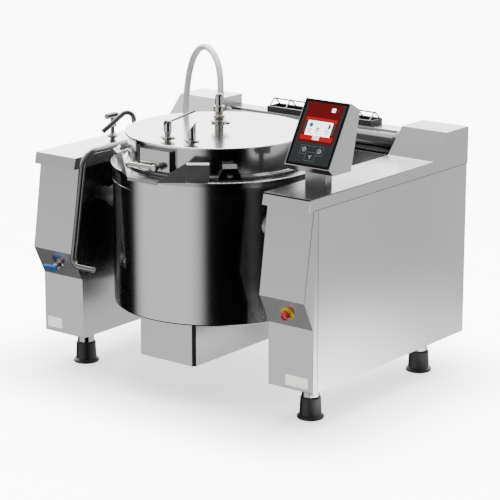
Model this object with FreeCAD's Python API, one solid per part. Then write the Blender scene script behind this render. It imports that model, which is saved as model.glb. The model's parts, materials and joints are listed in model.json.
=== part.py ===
import FreeCAD, Part
import math
import os

# Gas tilting skillet on two columns.
# Millimetres, +X to the operator's right, +Y to the rear, +Z up, origin on the floor
# under the middle of the machine.

os.makedirs("parts", exist_ok=True)
V = FreeCAD.Vector

# Columns and worktops
total_width = 1400.0
column_width = 218.5
rear_y = 620.0
worktop_depth = 1091.5
worktop_height = 920.0
skirt_height = 47.0
skirt_flare = 11.5
skirt_overlap = 32.0
turret_height = 106.0
turret_slope = 100.9
turret_depth = 162.6
knee_height = 523.0
knee_reach = 31.1
undercut_height = 403.0
undercut_setback = 59.1
column_base = 150.0
sheet = 2.0
fold_radius = 4.0
side_panel_margin = 22.0
panel_gap = 0.4
panel_return = 14.0

# Inner frame of each column
frame_bar = 40.0
frame_bar_wall = 4.0
bearing_plate_width = 220.0
bearing_plate_thickness = 12.0
bearing_plate_drop = 11.0

# Bridge, cross tube and flue between the columns
bridge_depth = 88.0
bridge_rise = 64.0
bridge_height = 284.0
lower_member_height = 80.0
member_wall = 3.0
lower_member_lift = 20.0
cross_tube_radius = 50.0
cross_tube_rise = 15.0
cross_tube_collar = 8.5
cross_tube_end = 30.0
flue_width = 548.0
flue_depth = 85.0
flue_height = 25.0
guard_wire = 2.0
guard_rail = 2.6
guard_rise = 33.0
guard_wires = 7
guard_pitch = 88.0

# Feet
foot_side_inset = 109.1
foot_front_inset = 131.8
foot_rear_inset = 170.3
foot_flange_radius = 53.8
foot_cup_radius = 43.0
foot_cup_height = 90.0
foot_sleeve_radius = 35.0
foot_sleeve_overlap = 22.0

# Vessel
vessel_setback = 320.5
vessel_side_gap = 57.5
vessel_height = 578.0
jacket_seam_drop = 66.0
seam_depth = 0.9
seam_width = 3.0
ring_overhang = 7.0
ring_height = 18.0
ring_rise = 7.0
ring_plate = 4.0
jacket_space = 72.0
pan_wall = 3.0
pan_depth = 335.0
pan_floor = 12.0
pan_corner = 40.0
insulation_gap = 4.0

# Burner chamber and burners under the pan
chamber_half_width = 144.5
chamber_front_inset = 92.0
chamber_back_inset = 203.0
chamber_height = 189.0
chamber_corner = 12.0
burner_count = 5
burner_pitch = 62.0
burner_radius = 17.0
burner_length = 420.0
burner_rise = 121.0
burner_rail_height = 16.0

# Tilting gear
tilt_forward = 148.0
tilt_drop = 184.0
trunnion_pad_radius = 48.0
trunnion_flange_radius = 38.0
trunnion_flange_width = 18.0
trunnion_pad_step = 4.0
trunnion_boss_radius = 30.0
trunnion_shaft_radius = 25.0
shaft_clearance = 0.05
bearing_width = 34.0
bearing_flange = 120.0
bearing_flange_thickness = 14.0
bearing_radius = 48.0
gear_module = 5.0
sector_teeth = 60
sector_tooth_count = 20
pinion_teeth = 15
gear_width = 25.0
gear_offset = 104.5
pinion_extra = 2.0
pressure_angle = 20.0
tooth_backlash = 0.35
pinion_shaft_radius = 12.5
gearbox_size = 120.0
gearbox_cover = 6.0
motor_radius = 45.0
motor_hole_gap = 2.0
motor_length = 190.0
motor_rib_count = 7
motor_rib_height = 5.0

# Pouring lip
lip_front_half = 76.0
lip_back_half = 236.0
lip_front_overhang = 35.0
lip_back_inset = 87.0
lip_wall_height = 76.0
lip_top_length = 88.0
lip_sheet = 3.0
lip_fold = 15.0

# Lugs on the ring
lug_angle = 45.5
lug_inset = 23.0
lug_base = 104.0
lug_top = 56.0
lug_height = 50.0
lug_sheet = 4.0
lug_fold = 16.0
lug_fold_rise = 15.0
lug_hole_radius = 11.0
lug_hole_height = 17.0
lug_screw_radius = 5.0
lug_screw_pitch = 70.0

# Lid
lid_wall_offset = 10.0
lid_sheet = 2.0
lid_flange_reach = 20.0
lid_flange_thickness = 6.0
lid_lift = 4.0
lid_height = 123.0
lid_plate = 3.0
lid_plate_overhang = 10.0
lid_plate_rim = 8.0
seal_inset = 6.0
seal_width = 20.0
seal_gap = 0.3

# Lid hinge
hinge_setback = 31.0
hinge_rise = 33.0
hinge_pin_radius = 10.0
hinge_eye_radius = 22.0
lid_arm_x = 95.0
lid_arm_thickness = 12.0
hinge_ear_thickness = 12.0
hinge_side_gap = 1.0
lid_arm_height = 46.0
hinge_ear_depth = 90.0
pin_head = 5.0

# Lid handle
handle_side_gap = 74.0
handle_radius = 12.5
handle_rise = 21.0
handle_rear_offset = 52.0
handle_front_inset = 43.0
handle_low_reach = 38.0
handle_drop = 431.0
handle_grip_length = 114.0
handle_rear_bend = 25.0
handle_front_bend = 75.0
handle_low_bend = 34.0
handle_rosette = 10.0
handle_rosette_thickness = 9.0

# Latch on the lid front
latch_half_width = 75.0
latch_bottom_rise = 23.0
latch_top_rise = 103.0
latch_depth = 29.0
latch_pivot_x = 25.0
latch_pivot_rise = 40.0
latch_spindle_reach = 29.0
latch_lever_length = 132.0
latch_lever_radius = 8.5
latch_spindle_radius = 7.0
latch_hub_radius = 13.5
latch_collar = 16.0

# Fittings on the lid
inlet_x = 8.0
inlet_height = 150.0
inlet_tube_radius = 20.0
inlet_clamp_rise = 30.0
inlet_sleeve_radius = 22.5
inlet_sleeve_length = 25.0
inlet_sleeve_rise = 74.0
inlet_dome_radius = 16.0
elbow_radius = 8.0
elbow_rise = 87.0
elbow_bend = 12.0
elbow_collar_height = 6.0
safety_x = -12.0
safety_inset = 66.0
safety_height = 80.0
vent_x = 104.0
vent_inset = 73.0
vent_height = 89.0
vent_radius = 18.0
vent_wall = 2.0
clamp_radius = 25.0
clamp_height = 14.0
clamp_wing = 8.0
ferrule_height = 12.0
relief_rod_radius = 4.0
relief_rod_length = 165.0
relief_rise = 20.0
relief_pivot_gap = 0.3
clamp_edge = 3.0
clamp_wing_half = 6.0
neck_step = 4.0
neck_slope = 6.0
safety_cap_step = 3.0
safety_cap_rise = 20.0
safety_cap_drop = 8.0
relief_slot_half = 5.0
relief_slot_depth = 16.0
relief_slot_spare = 6.0
relief_pin_radius = 2.5
relief_pin_half = 8.0
relief_eye_half = 4.5
relief_eye_radius = 6.5
vent_cut_drop = 22.0
vent_cut_size = 200.0
vent_bore_rise = 10.0

# Steam hose
hose_radius = 13.0
hose_spigot_x = -346.0
hose_spigot_y = 65.0
hose_spigot_height = 45.0
spigot_nut_radius = 16.0
spigot_nut_height = 14.0
spigot_neck_radius = 12.0
spigot_neck_height = 30.0
spigot_shoulder_height = 34.0
spigot_shoulder_step = 2.0
hose_route = [
    (-6.0, -123.0, 1156.0),
    (-6.0, -123.0, 1215.0),
    (-14.0, -118.0, 1276.0),
    (-40.0, -104.0, 1322.0),
    (-86.0, -79.0, 1350.0),
    (-146.0, -46.0, 1359.0),
    (-208.0, -11.0, 1338.0),
    (-256.0, 15.0, 1300.0),
    (-293.0, 36.0, 1250.0),
    (-320.0, 51.0, 1186.0),
    (-337.0, 60.0, 1116.0),
    (-346.0, 65.0, 1040.0),
    (-346.0, 65.0, 972.0),
]

# Water tap on the left worktop
tap_side_inset = 110.0
tap_forward = 31.0
tap_hub_rise = 110.0
tap_hub_radius = 12.0
tap_hub_front = 38.0
tap_hub_rear = 27.0
tap_knuckle_radius = 23.0
tap_lever_length = 52.0
spout_inner_inset = 16.5
spout_setback = 380.5
spout_radius = 10.3
spout_wall = 2.0
spout_rise = 118.0
spout_knee_reach = 34.0
spout_knee_rise = 16.0
spout_reach = 134.0
spout_angle = -126.9
spout_outlet_rise = 52.0
spout_riser_bend = 29.0
spout_knee_bend = 26.0
spout_collar_height = 25.0
cover_forward = 68.0
cover_side = 7.0
tap_foot_radius = 15.0
tap_neck_radius = 10.0
tap_throat_radius = 9.0
tap_knuckle_rise = 20.0
tap_spindle_radius = 7.0
tap_head_half = 14.0
tap_knob_length = 22.0
tap_hub_length = 12.5
tap_lever_half = 6.0
tap_lever_tip = 2.5
tap_lever_sheet = 6.0
tap_lever_inset = 11.0
spout_foot_radius = 19.0
spout_foot_height = 4.0
cover_height = 17.0

# Water valve on the left column
valve_side_inset = 120.0
valve_body_radius = 15.0
valve_body_length = 30.0
valve_lever_length = 70.0
valve_lever_width = 31.0
valve_lever_thickness = 12.0
valve_flange_step = 6.0
valve_flange_thickness = 3.0
valve_nose = 8.0
valve_spindle_radius = 5.0
valve_spindle_reach = 7.0

# Stop button on the right column
stop_side_inset = 100.0
control_rise = 61.0
stop_collar_radius = 30.0
stop_head_radius = 20.0
stop_stem_radius = 8.0
stop_travel = 6.0
stop_head_lift = 15.0
stop_collar_edge = 3.0
stop_collar_height = 8.0
stop_collar_crown = 11.0
stop_spigot_step = 3.0
stop_spigot_length = 8.0
stop_head_edge = 7.0
stop_head_crown = 13.0
stop_head_height = 15.0
stop_head_bore = 9.0

# Control panel
panel_width = 211.0
panel_inset = 3.0
panel_front_bottom = (120.6, 88.8)
panel_front_top = (260.2, 325.5)
panel_rear_top = (319.9, 292.5)
panel_rear_bottom = (263.1, 62.4)
panel_chin = (149.9, 63.6)
glass_border = 3.0
glass_thickness = 4.0
window_ledge = 10.0
pedestal_width = 96.0
pedestal_depth = 47.0
pedestal_setback = 175.5
module_thickness = 18.0

# Blank plates
plate_thickness = 1.2
right_plate_width = 108.0
right_plate_height = 42.0
right_plate_inset = 79.0
right_plate_rise = 36.0
left_plate_width = 78.0
left_plate_height = 44.0
left_plate_inset = 57.0
left_plate_rise = 42.0

# Places that follow from the sizes above
outer_x = total_width / 2
inner_x = outer_x - column_width
body_inner_x = inner_x + sheet
body_outer_x = outer_x - sheet
worktop_front_y = rear_y - worktop_depth
skirt_bottom = worktop_height - skirt_height
skirt_front_y = worktop_front_y - skirt_flare
knee_y = worktop_front_y - knee_reach
lower_front_y = knee_y + undercut_setback
turret_top = worktop_height + turret_height
turret_top_y = rear_y - turret_depth
turret_foot_y = turret_top_y - turret_slope
bridge_front_y = rear_y - sheet - bridge_depth
cross_tube_y = bridge_front_y - cross_tube_radius - cross_tube_collar - panel_gap
bridge_top = worktop_height + bridge_rise
cross_tube_z = worktop_height + cross_tube_rise
foot_x = outer_x - foot_side_inset
foot_front_y = lower_front_y + foot_front_inset
foot_rear_y = rear_y - foot_rear_inset
vessel_y = worktop_front_y + vessel_setback
vessel_radius = inner_x - vessel_side_gap
ring_radius = vessel_radius + ring_overhang
ring_top = worktop_height + ring_rise
jacket_bottom = ring_top - vessel_height
jacket_seam_z = ring_top - jacket_seam_drop
pan_radius = vessel_radius - jacket_space
pan_floor_top = ring_top - pan_depth
chamber_front_y = vessel_y - vessel_radius + chamber_front_inset
chamber_back_y = vessel_y + vessel_radius - chamber_back_inset
chamber_floor = jacket_bottom - chamber_height
burner_z = jacket_bottom + burner_rise
lug_radius = ring_radius - lug_inset
lip_front_reach = ring_radius + lip_front_overhang
lip_back_reach = ring_radius - lip_back_inset
tilt_y = vessel_y - tilt_forward
tilt_z = ring_top - tilt_drop
plate_x = body_inner_x + sheet
bearing_x = plate_x + bearing_plate_thickness
bearing_plate_top = skirt_bottom - bearing_plate_drop
gear_x = bearing_x + gear_offset
lid_radius = pan_radius + lid_wall_offset
lid_flange_radius = lid_radius + lid_flange_reach
lid_flange_inner = pan_radius
lid_bottom = ring_top + lid_lift
lid_top = ring_top + lid_height
seal_inner = pan_radius + seal_inset
seal_outer = seal_inner + seal_width
hinge_y = vessel_y + ring_radius + hinge_setback
hinge_z = ring_top + hinge_rise
handle_x = -(lid_radius + handle_side_gap)
handle_z = ring_top + handle_rise
handle_rear_y = vessel_y + handle_rear_offset
handle_front_y = vessel_y - lid_radius + handle_front_inset
handle_low_y = vessel_y - lid_radius - handle_low_reach
handle_low_z = ring_top - handle_drop
handle_grip_x = handle_x + handle_grip_length
latch_face = lid_radius + latch_depth
latch_bottom = ring_top + latch_bottom_rise
latch_top = ring_top + latch_top_rise
latch_pivot_z = ring_top + latch_pivot_rise
latch_lever_y = vessel_y - latch_face - latch_spindle_reach
inlet_top = lid_top + inlet_height
inlet_clamp_z = lid_top + inlet_clamp_rise
inlet_sleeve_bottom = lid_top + inlet_sleeve_rise
inlet_sleeve_top = inlet_sleeve_bottom + inlet_sleeve_length
elbow_z = lid_top + elbow_rise
safety_y = vessel_y - lid_radius + safety_inset
safety_top = lid_top + safety_height
vent_y = vessel_y - lid_radius + vent_inset
vent_top = lid_top + vent_height
tap_x = tap_side_inset - outer_x
spout_x = -inner_x - spout_inner_inset
spout_y = worktop_front_y + spout_setback
tap_y = spout_y - tap_forward
tap_hub_z = worktop_height + tap_hub_rise
spout_top = worktop_height + spout_rise
spout_outlet_z = worktop_height + spout_outlet_rise
valve_x = valve_side_inset - outer_x
stop_x = outer_x - stop_side_inset
control_z = undercut_height + control_rise
pedestal_front = worktop_front_y + pedestal_setback
gear_radius = gear_module * sector_teeth / 2
pinion_radius = gear_module * pinion_teeth / 2
pinion_z = tilt_z - gear_radius - pinion_radius
undercut_angle = math.degrees(math.atan2(undercut_setback, knee_height - undercut_height))


def box(x0, x1, y0, y1, z0, z1):
    return Part.makeBox(x1 - x0, y1 - y0, z1 - z0, V(x0, y0, z0))


def rod(start, end, radius):
    """Round bar from one point to another."""
    a = V(*start)
    b = V(*end)
    return Part.makeCylinder(radius, a.distanceToPoint(b), a, b - a)


def corner(before, at, after, radius):
    """Start, middle and end of the arc that rounds one corner."""
    a = (before - at).normalize()
    b = (after - at).normalize()
    half = a.getAngle(b) / 2
    reach = radius / math.tan(half)
    bisector = (a + b).normalize()
    middle = at + bisector * (radius / math.sin(half) - radius)
    return at + a * reach, middle, at + b * reach


def rounded_wire(points, radii):
    """Closed wire whose corners are arcs; a radius of zero leaves a corner sharp."""
    count = len(points)
    if isinstance(radii, (int, float)):
        radii = [radii] * count
    ends = []
    edges = []
    for i, at in enumerate(points):
        if radii[i] > 0:
            start, middle, end = corner(points[i - 1], at, points[(i + 1) % count], radii[i])
            edges.append(Part.Arc(start, middle, end).toShape())
            ends.append((start, end))
        else:
            ends.append((at, at))
    for i in range(count):
        start = ends[i][1]
        end = ends[(i + 1) % count][0]
        if start.distanceToPoint(end) > 1e-6:
            edges.append(Part.makeLine(start, end))
    return Part.Wire(Part.__sortEdges__(edges))


def prism_x(points, x0, x1, radii=0):
    """Profile of (y, z) points carried along X."""
    wire = rounded_wire([V(x0, y, z) for y, z in points], radii)
    return Part.Face(wire).extrude(V(x1 - x0, 0, 0))


def prism_z(points, z0, z1, radii=0):
    """Outline of (x, y) points carried upwards."""
    wire = rounded_wire([V(x, y, z0) for x, y in points], radii)
    return Part.Face(wire).extrude(V(0, 0, z1 - z0))


def turned(profile, origin, direction=(0, 0, 1), radii=0):
    """Profile of (radius, height) points turned about an axis through origin."""
    wire = rounded_wire([V(r, 0, h) for r, h in profile], radii)
    solid = Part.Face(wire).revolve(V(0, 0, 0), V(0, 0, 1), 360)
    turn = FreeCAD.Rotation(V(0, 0, 1), V(*direction))
    solid.Placement = FreeCAD.Placement(V(*origin), turn)
    return solid


def inset(points, distance):
    """Outline of (y, z) points moved inwards by one distance all round."""
    count = len(points)
    area = sum(points[i - 1][0] * points[i][1] - points[i][0] * points[i - 1][1] for i in range(count))
    side = 1 if area > 0 else -1
    lines = []
    for i in range(count):
        (y0, z0), (y1, z1) = points[i], points[(i + 1) % count]
        length = math.hypot(y1 - y0, z1 - z0)
        dy, dz = (y1 - y0) / length, (z1 - z0) / length
        lines.append((y0 - side * dz * distance, z0 + side * dy * distance, dy, dz))
    moved = []
    for i in range(count):
        ay, az, ady, adz = lines[i - 1]
        by, bz, bdy, bdz = lines[i]
        cross = ady * bdz - adz * bdy
        t = ((by - ay) * bdz - (bz - az) * bdy) / cross
        moved.append((ay + t * ady, az + t * adz))
    return moved


def bent_path(points, radii):
    """Open wire of straight runs joined by tangent arcs."""
    edges = []
    last = points[0]
    for i in range(1, len(points) - 1):
        start, middle, end = corner(points[i - 1], points[i], points[i + 1], radii[i - 1])
        if last.distanceToPoint(start) > 1e-6:
            edges.append(Part.makeLine(last, start))
        edges.append(Part.Arc(start, middle, end).toShape())
        last = end
    edges.append(Part.makeLine(last, points[-1]))
    return Part.Wire(edges)


def tube_along(points, radii, radius):
    """Round bar swept along a bent path."""
    path = bent_path(points, radii)
    section = Part.Wire([Part.Circle(points[0], points[1] - points[0], radius).toShape()])
    return path.makePipeShell([section], True, False)


def mirrored(shape):
    return shape.mirror(V(0, 0, 0), V(1, 0, 0))


def fused(shapes):
    whole = shapes[0]
    for shape in shapes[1:]:
        whole = whole.fuse(shape)
    return whole.removeSplitter()


def on_slope(shape, y, z, angle):
    """Piece built against the plane y = 0 and facing -Y, leaned by angle about X."""
    shape.rotate(V(0, 0, 0), V(1, 0, 0), angle)
    shape.translate(V(0, y, z))
    return shape


def undercut_y(z):
    """Y of the slanting control face of a column at one height."""
    share = (knee_height - z) / (knee_height - undercut_height)
    return knee_y + share * undercut_setback


def save(name, shapes):
    if not isinstance(shapes, list):
        shapes = [shapes]
    solids = [solid for shape in shapes for solid in shape.Solids]
    group = solids[0] if len(solids) == 1 else Part.makeCompound(solids)
    group.exportStep("parts/%s.step" % name)
    print("%-22s %2d solids %12.0f mm3 valid %s" % (name, len(solids), group.Volume, group.isValid()))


def column_profile():
    """Side outline of a column body; its top stands inside the worktop's skirt."""
    front_at_skirt = skirt_front_y + sheet
    lean = (front_at_skirt - (worktop_front_y + sheet)) / skirt_height
    front_at_top = front_at_skirt - lean * skirt_overlap + sheet
    back = rear_y - sheet
    return [
        (lower_front_y, column_base),
        (lower_front_y, undercut_height),
        (knee_y, knee_height),
        (front_at_skirt, skirt_bottom),
        (front_at_top, skirt_bottom + skirt_overlap),
        (back, skirt_bottom + skirt_overlap),
        (back, column_base),
    ]


def column_body():
    """Folded sheet body, open at the top and framed round its outer side."""
    outline = column_profile()
    radii = [fold_radius, fold_radius, fold_radius, 0, 0, 0, fold_radius]
    inner_radii = [fold_radius - sheet, fold_radius + sheet, fold_radius - sheet, 0, 0, 0, fold_radius - sheet]
    body = prism_x(outline, body_inner_x, body_outer_x, radii)
    hollow = prism_x(inset(outline, sheet), body_inner_x + sheet, body_outer_x - sheet, inner_radii)
    mouth_front = outline[4][0] + sheet * 2
    mouth_top = skirt_bottom + skirt_overlap
    mouth = box(body_inner_x + sheet, body_outer_x - sheet, mouth_front, outline[5][0] - sheet,
                mouth_top - sheet * 2, mouth_top + sheet)
    doorway = prism_x(inset(outline, side_panel_margin), body_outer_x - sheet * 2, body_outer_x + sheet)
    trunnion_hole = rod((body_inner_x - sheet, tilt_y, tilt_z), (body_inner_x + sheet * 2, tilt_y, tilt_z),
                        trunnion_boss_radius + sheet)
    return body.cut(hollow.fuse(mouth)).cut(doorway).cut(trunnion_hole)


def stop_hole():
    """Hole through the control face that the stop button's plunger slides in."""
    hole = rod((stop_x, sheet * 2, 0), (stop_x, -sheet, 0), stop_stem_radius + panel_gap)
    return on_slope(hole, undercut_y(control_z), control_z, undercut_angle)


def side_panel():
    """Flat sheet that closes a column's outer side, with a return along its edge."""
    outline = inset(column_profile(), side_panel_margin + panel_gap)
    tray = prism_x(outline, body_outer_x - panel_return, body_outer_x)
    hollow = prism_x(inset(outline, sheet), body_outer_x - panel_return - sheet, body_outer_x - sheet)
    return tray.cut(hollow)


def worktop():
    """Folded worktop with its skirt and the raised box at the rear."""
    outline = [
        (skirt_front_y, skirt_bottom),
        (worktop_front_y, worktop_height),
        (turret_foot_y, worktop_height),
        (turret_top_y, turret_top),
        (rear_y, turret_top),
        (rear_y, skirt_bottom),
    ]
    cap = prism_x(outline, inner_x, outer_x, [0, fold_radius, fold_radius, fold_radius, fold_radius, 0])
    hollow = prism_x(inset(outline, sheet), inner_x + sheet, outer_x - sheet)
    mouth = box(inner_x + sheet, outer_x - sheet, skirt_front_y + sheet, rear_y - sheet,
                skirt_bottom - sheet, skirt_bottom + sheet * 2)
    return cap.cut(hollow.fuse(mouth))


def gearbox_span():
    """Front and back of the gearbox in X, the motor's middle and the motor's radius."""
    x0 = bearing_x
    x1 = gear_x - pinion_extra - gearbox_cover
    return x0, x1, (x0 + x1) / 2, min(motor_radius, (x1 - x0) / 2)


def inner_frame():
    """Ring of angle bars on the column floor with the upright plate that carries the bearing."""
    x0 = plate_x
    x1 = body_outer_x - panel_return - sheet
    y0 = lower_front_y + sheet * 3
    y1 = rear_y - sheet * 4
    z0 = column_base + sheet
    w = frame_bar
    t = frame_bar_wall
    flat = box(x0, x1, y0, y1, z0, z0 + t).cut(box(x0 + w, x1 - w, y0 + w, y1 - w, z0, z0 + t))
    upright = box(x0, x1, y0, y1, z0, z0 + w).cut(box(x0 + t, x1 - t, y0 + t, y1 - t, z0, z0 + w))
    half = bearing_plate_width / 2
    plate_front = tilt_y - half / 2
    plate_back = tilt_y + half
    plate = box(x0, bearing_x, plate_front, plate_back, z0, bearing_plate_top)
    web = box(x0, x0 + w, plate_back - bearing_plate_thickness, plate_back, z0, bearing_plate_top)
    post = box(x0, x0 + w, y1 - t, y1, z0, bearing_plate_top)
    post_flange = box(x0, x0 + t, y1 - w, y1, z0, bearing_plate_top)
    hole = rod((x0 - sheet, tilt_y, tilt_z), (bearing_x + sheet, tilt_y, tilt_z), trunnion_boss_radius + sheet)
    middle_x, motor_r = gearbox_span()[2:]
    motor_way = rod((middle_x, plate_front, pinion_z), (middle_x, plate_back + sheet, pinion_z),
                    motor_r + motor_hole_gap)
    ribs = fused([web.cut(motor_way), plate])
    return fused([flat, upright, ribs, post, post_flange]).cut(hole)


def bearing():
    """Flanged bearing housing bolted to the upright plate."""
    half = bearing_flange / 2
    corners = [(tilt_y - half / 1.2, tilt_z - half), (tilt_y + half, tilt_z - half),
               (tilt_y + half, tilt_z + half), (tilt_y - half / 1.2, tilt_z + half)]
    flange = prism_x(corners, bearing_x, bearing_x + bearing_flange_thickness, 15)
    rim = [(0, 0), (bearing_radius, 0), (bearing_radius - 6, bearing_width), (0, bearing_width)]
    hub = turned(rim, (bearing_x, tilt_y, tilt_z), (1, 0, 0))
    bore = rod((bearing_x - 1, tilt_y, tilt_z), (bearing_x + bearing_width + 1, tilt_y, tilt_z),
               trunnion_shaft_radius + shaft_clearance)
    return flange.fuse(hub).removeSplitter().cut(bore)


def rear_bridge():
    """Box of folded sheet between the columns that carries the flue."""
    front = bridge_front_y
    back = rear_y - sheet
    outline = [(front, bridge_top - bridge_height), (front, bridge_top), (back, bridge_top),
               (back, bridge_top - bridge_height)]
    shell = prism_x(outline, -inner_x, inner_x, [0, fold_radius, fold_radius, 0])
    hollow = box(-inner_x + sheet, inner_x - sheet, front + sheet, back - sheet,
                 bridge_top - bridge_height - sheet, bridge_top - sheet)
    flue_slot = box(-flue_width / 2 + 30, flue_width / 2 - 30, front + 22, back - 22,
                    bridge_top - sheet * 2, bridge_top + sheet)
    return shell.cut(hollow).cut(flue_slot)


def lower_member():
    """Square-edged tube that ties the columns together near the floor."""
    y1 = rear_y - sheet
    y0 = y1 - bridge_depth
    z0 = column_base + lower_member_lift
    z1 = z0 + lower_member_height
    w = member_wall
    bar = prism_x([(y0, z0), (y0, z1), (y1, z1), (y1, z0)], -body_inner_x, body_inner_x, w * 2)
    bore = prism_x([(y0 + w, z0 + w), (y0 + w, z1 - w), (y1 - w, z1 - w), (y1 - w, z0 + w)],
                   -body_inner_x, body_inner_x, w)
    return bar.cut(bore)


def cross_tube():
    """Polished tube between the turrets, with a collar at each end."""
    r = cross_tube_radius
    c = cross_tube_collar
    e = cross_tube_end
    length = 2 * inner_x
    bore = r - member_wall
    profile = [(bore, 0), (r + c, 0), (r + c, e), (r, e + c), (r, length - e - c), (r + c, length - e),
               (r + c, length), (bore, length)]
    return turned(profile, (-inner_x, cross_tube_y, cross_tube_z), (1, 0, 0))


def flue_tray():
    """Open steel tray on the bridge where the flue gas leaves."""
    y1 = rear_y - sheet - (bridge_depth - flue_depth) / 2
    y0 = y1 - flue_depth
    half = flue_width / 2
    tray = box(-half, half, y0, y1, bridge_top, bridge_top + flue_height)
    hollow = box(-half + sheet, half - sheet, y0 + sheet, y1 - sheet, bridge_top + sheet,
                 bridge_top + flue_height + sheet)
    baffle = box(-half + sheet, half - sheet, y0 + flue_depth / 2 - sheet, y0 + flue_depth / 2 + sheet,
                 bridge_top + sheet, bridge_top + flue_height / 2)
    slots = [box(x - 26, x + 26, y0 + 14, y1 - 14, bridge_top - sheet, bridge_top + sheet * 2)
             for x in (-177, -88, 0, 88, 177)]
    return tray.cut(hollow).fuse(baffle).removeSplitter().cut(Part.makeCompound(slots))


def flue_guard():
    """Bent wires over the flue, joined by a ridge wire and two foot wires."""
    y1 = rear_y - sheet * 2 - (bridge_depth - flue_depth) / 2 - guard_rail - panel_gap / 2
    y0 = y1 - flue_depth + 2 * (sheet + guard_rail) + panel_gap
    foot_z = bridge_top + flue_height - guard_rail
    ridge_y = (y0 + y1) / 2
    ridge_z = bridge_top + flue_height + guard_rise
    reach = guard_pitch * (guard_wires - 1) / 2
    wires = []
    for i in range(guard_wires):
        x = i * guard_pitch - reach
        path = [V(x, y0, foot_z), V(x, ridge_y, ridge_z), V(x, y1, foot_z)]
        wires.append(tube_along(path, [8.0], guard_wire))
    for y, z in ((y0, foot_z), (y1, foot_z), (ridge_y, ridge_z - guard_wire - guard_rail)):
        wires.append(rod((-reach - 4, y, z), (reach + 4, y, z), guard_rail))
    return fused(wires)


def foot_places():
    return [(x, y) for x in (-foot_x, foot_x) for y in (foot_front_y, foot_rear_y)]


def foot_cups():
    """Adjustable plastic feet."""
    r = foot_cup_radius
    h = foot_cup_height
    f = foot_flange_radius
    profile = [(0, 0), (f - 2, 0), (f, 3), (f, 10), (r + 1, 17), (r - 2, h - 6), (r - 5, h), (0, h)]
    well_depth = foot_sleeve_overlap
    feet = []
    for x, y in foot_places():
        well = rod((x, y, h - well_depth), (x, y, h + 1), foot_sleeve_radius)
        feet.append(turned(profile, (x, y, 0)).cut(well))
    return feet


def foot_sleeves():
    """Steel legs that stand in the feet under the columns."""
    z0 = foot_cup_height - foot_sleeve_overlap
    r = foot_sleeve_radius
    flare = 6.0
    profile = [(0, z0), (r, z0), (r, column_base - flare), (r + flare, column_base - flare / 2),
               (r + flare, column_base), (0, column_base)]
    return [turned(profile, (x, y, 0)) for x, y in foot_places()]


def vessel_jacket():
    """Outer wall of the vessel, with a seam line and the opening to the burner chamber."""
    r = vessel_radius
    t = sheet
    top = ring_top - ring_plate
    s = seam_depth
    h = seam_width / 2
    z = jacket_seam_z
    profile = [(0, jacket_bottom), (r - 6, jacket_bottom), (r, jacket_bottom + 6), (r, z - h), (r - s, z - h),
               (r - s, z + h), (r, z + h), (r, top), (r - t, top), (r - t, jacket_bottom + 6 + t),
               (r - 6 - t, jacket_bottom + t), (0, jacket_bottom + t)]
    wall = turned(profile, (0, vessel_y, 0))
    w = chamber_half_width - chamber_corner
    opening = box(-w, w, chamber_front_y + chamber_corner, chamber_back_y - chamber_corner,
                  jacket_bottom - 1, jacket_bottom + t + 1)
    return wall.cut(opening)


def cooking_pan():
    """Round pan with a thick floor and a wide cove between floor and wall."""
    r = pan_radius
    f = pan_floor_top
    top = ring_top - ring_plate
    wall = pan_wall
    profile = [(0, f - pan_floor), (r - pan_corner, f - pan_floor), (r + wall, f + pan_corner - wall),
               (r + wall, top), (r, top), (r, f), (0, f)]
    c = pan_corner
    return turned(profile, (0, vessel_y, 0), radii=[0, c / 3, c / 3, 0, 0, c, 0])


def pan_insulation():
    """Blanket of mineral wool between the pan wall and the jacket."""
    g = insulation_gap
    inner = pan_radius + pan_wall + g
    outer = vessel_radius - sheet - g
    z0 = pan_floor_top + pan_corner
    z1 = ring_top - ring_plate
    return turned([(inner, z0), (outer, z0), (outer, z1), (inner, z1)], (0, vessel_y, 0))


def rim_ring():
    """Heavy ring on top of the vessel with a turned-down edge."""
    r = ring_radius
    p = ring_plate
    low = ring_top - ring_height
    profile = [(pan_radius, ring_top - p), (r - p, ring_top - p), (r - p, low), (r, low), (r, ring_top),
               (pan_radius, ring_top)]
    return turned(profile, (0, vessel_y, 0), radii=[0, 2, 0, 0, p, 2])


def burner_chamber():
    """Box under the vessel that holds the burners and their gas valve."""
    w = chamber_half_width
    c = chamber_corner
    y0 = chamber_front_y
    y1 = chamber_back_y

    def outline(d):
        return [(-w + c, y0 + d), (w - c, y0 + d), (w - d, y0 + c), (w - d, y1 - c), (w - c, y1 - d),
                (-w + c, y1 - d), (-w + d, y1 - c), (-w + d, y0 + c)]

    shell = prism_z(outline(0), chamber_floor, jacket_bottom)
    hollow = prism_z(outline(sheet), chamber_floor + sheet, jacket_bottom + 1)
    air_slots = [box(-w / 2, w / 2, y - 4, y + 4, chamber_floor - 1, chamber_floor + sheet + 1)
                 for y in range(int(y0 + 60), int(y1 - 40), 40)]
    return shell.cut(hollow).cut(Part.makeCompound(air_slots))


def burner_tubes():
    """Row of tubular burners under the pan floor."""
    y0 = vessel_y - burner_length / 2
    y1 = vessel_y + burner_length / 2
    first = -burner_pitch * (burner_count - 1) / 2
    return [rod((first + i * burner_pitch, y0, burner_z), (first + i * burner_pitch, y1, burner_z), burner_radius)
            for i in range(burner_count)]


def burner_rack():
    """Two cross rails with legs that hold the burners off the jacket floor."""
    half = burner_pitch * burner_count / 2
    top = burner_z - burner_radius
    leg_x = chamber_half_width + 8
    rails = []
    for y in (vessel_y - burner_length / 3, vessel_y + burner_length / 3):
        bar = box(-half - 12, half + 12, y - 8, y + 8, top - burner_rail_height, top)
        legs = [box(x - 8, x + 8, y - 8, y + 8, jacket_bottom + sheet, top) for x in (-leg_x, leg_x)]
        rails.append(fused([bar] + legs))
    return rails


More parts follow.
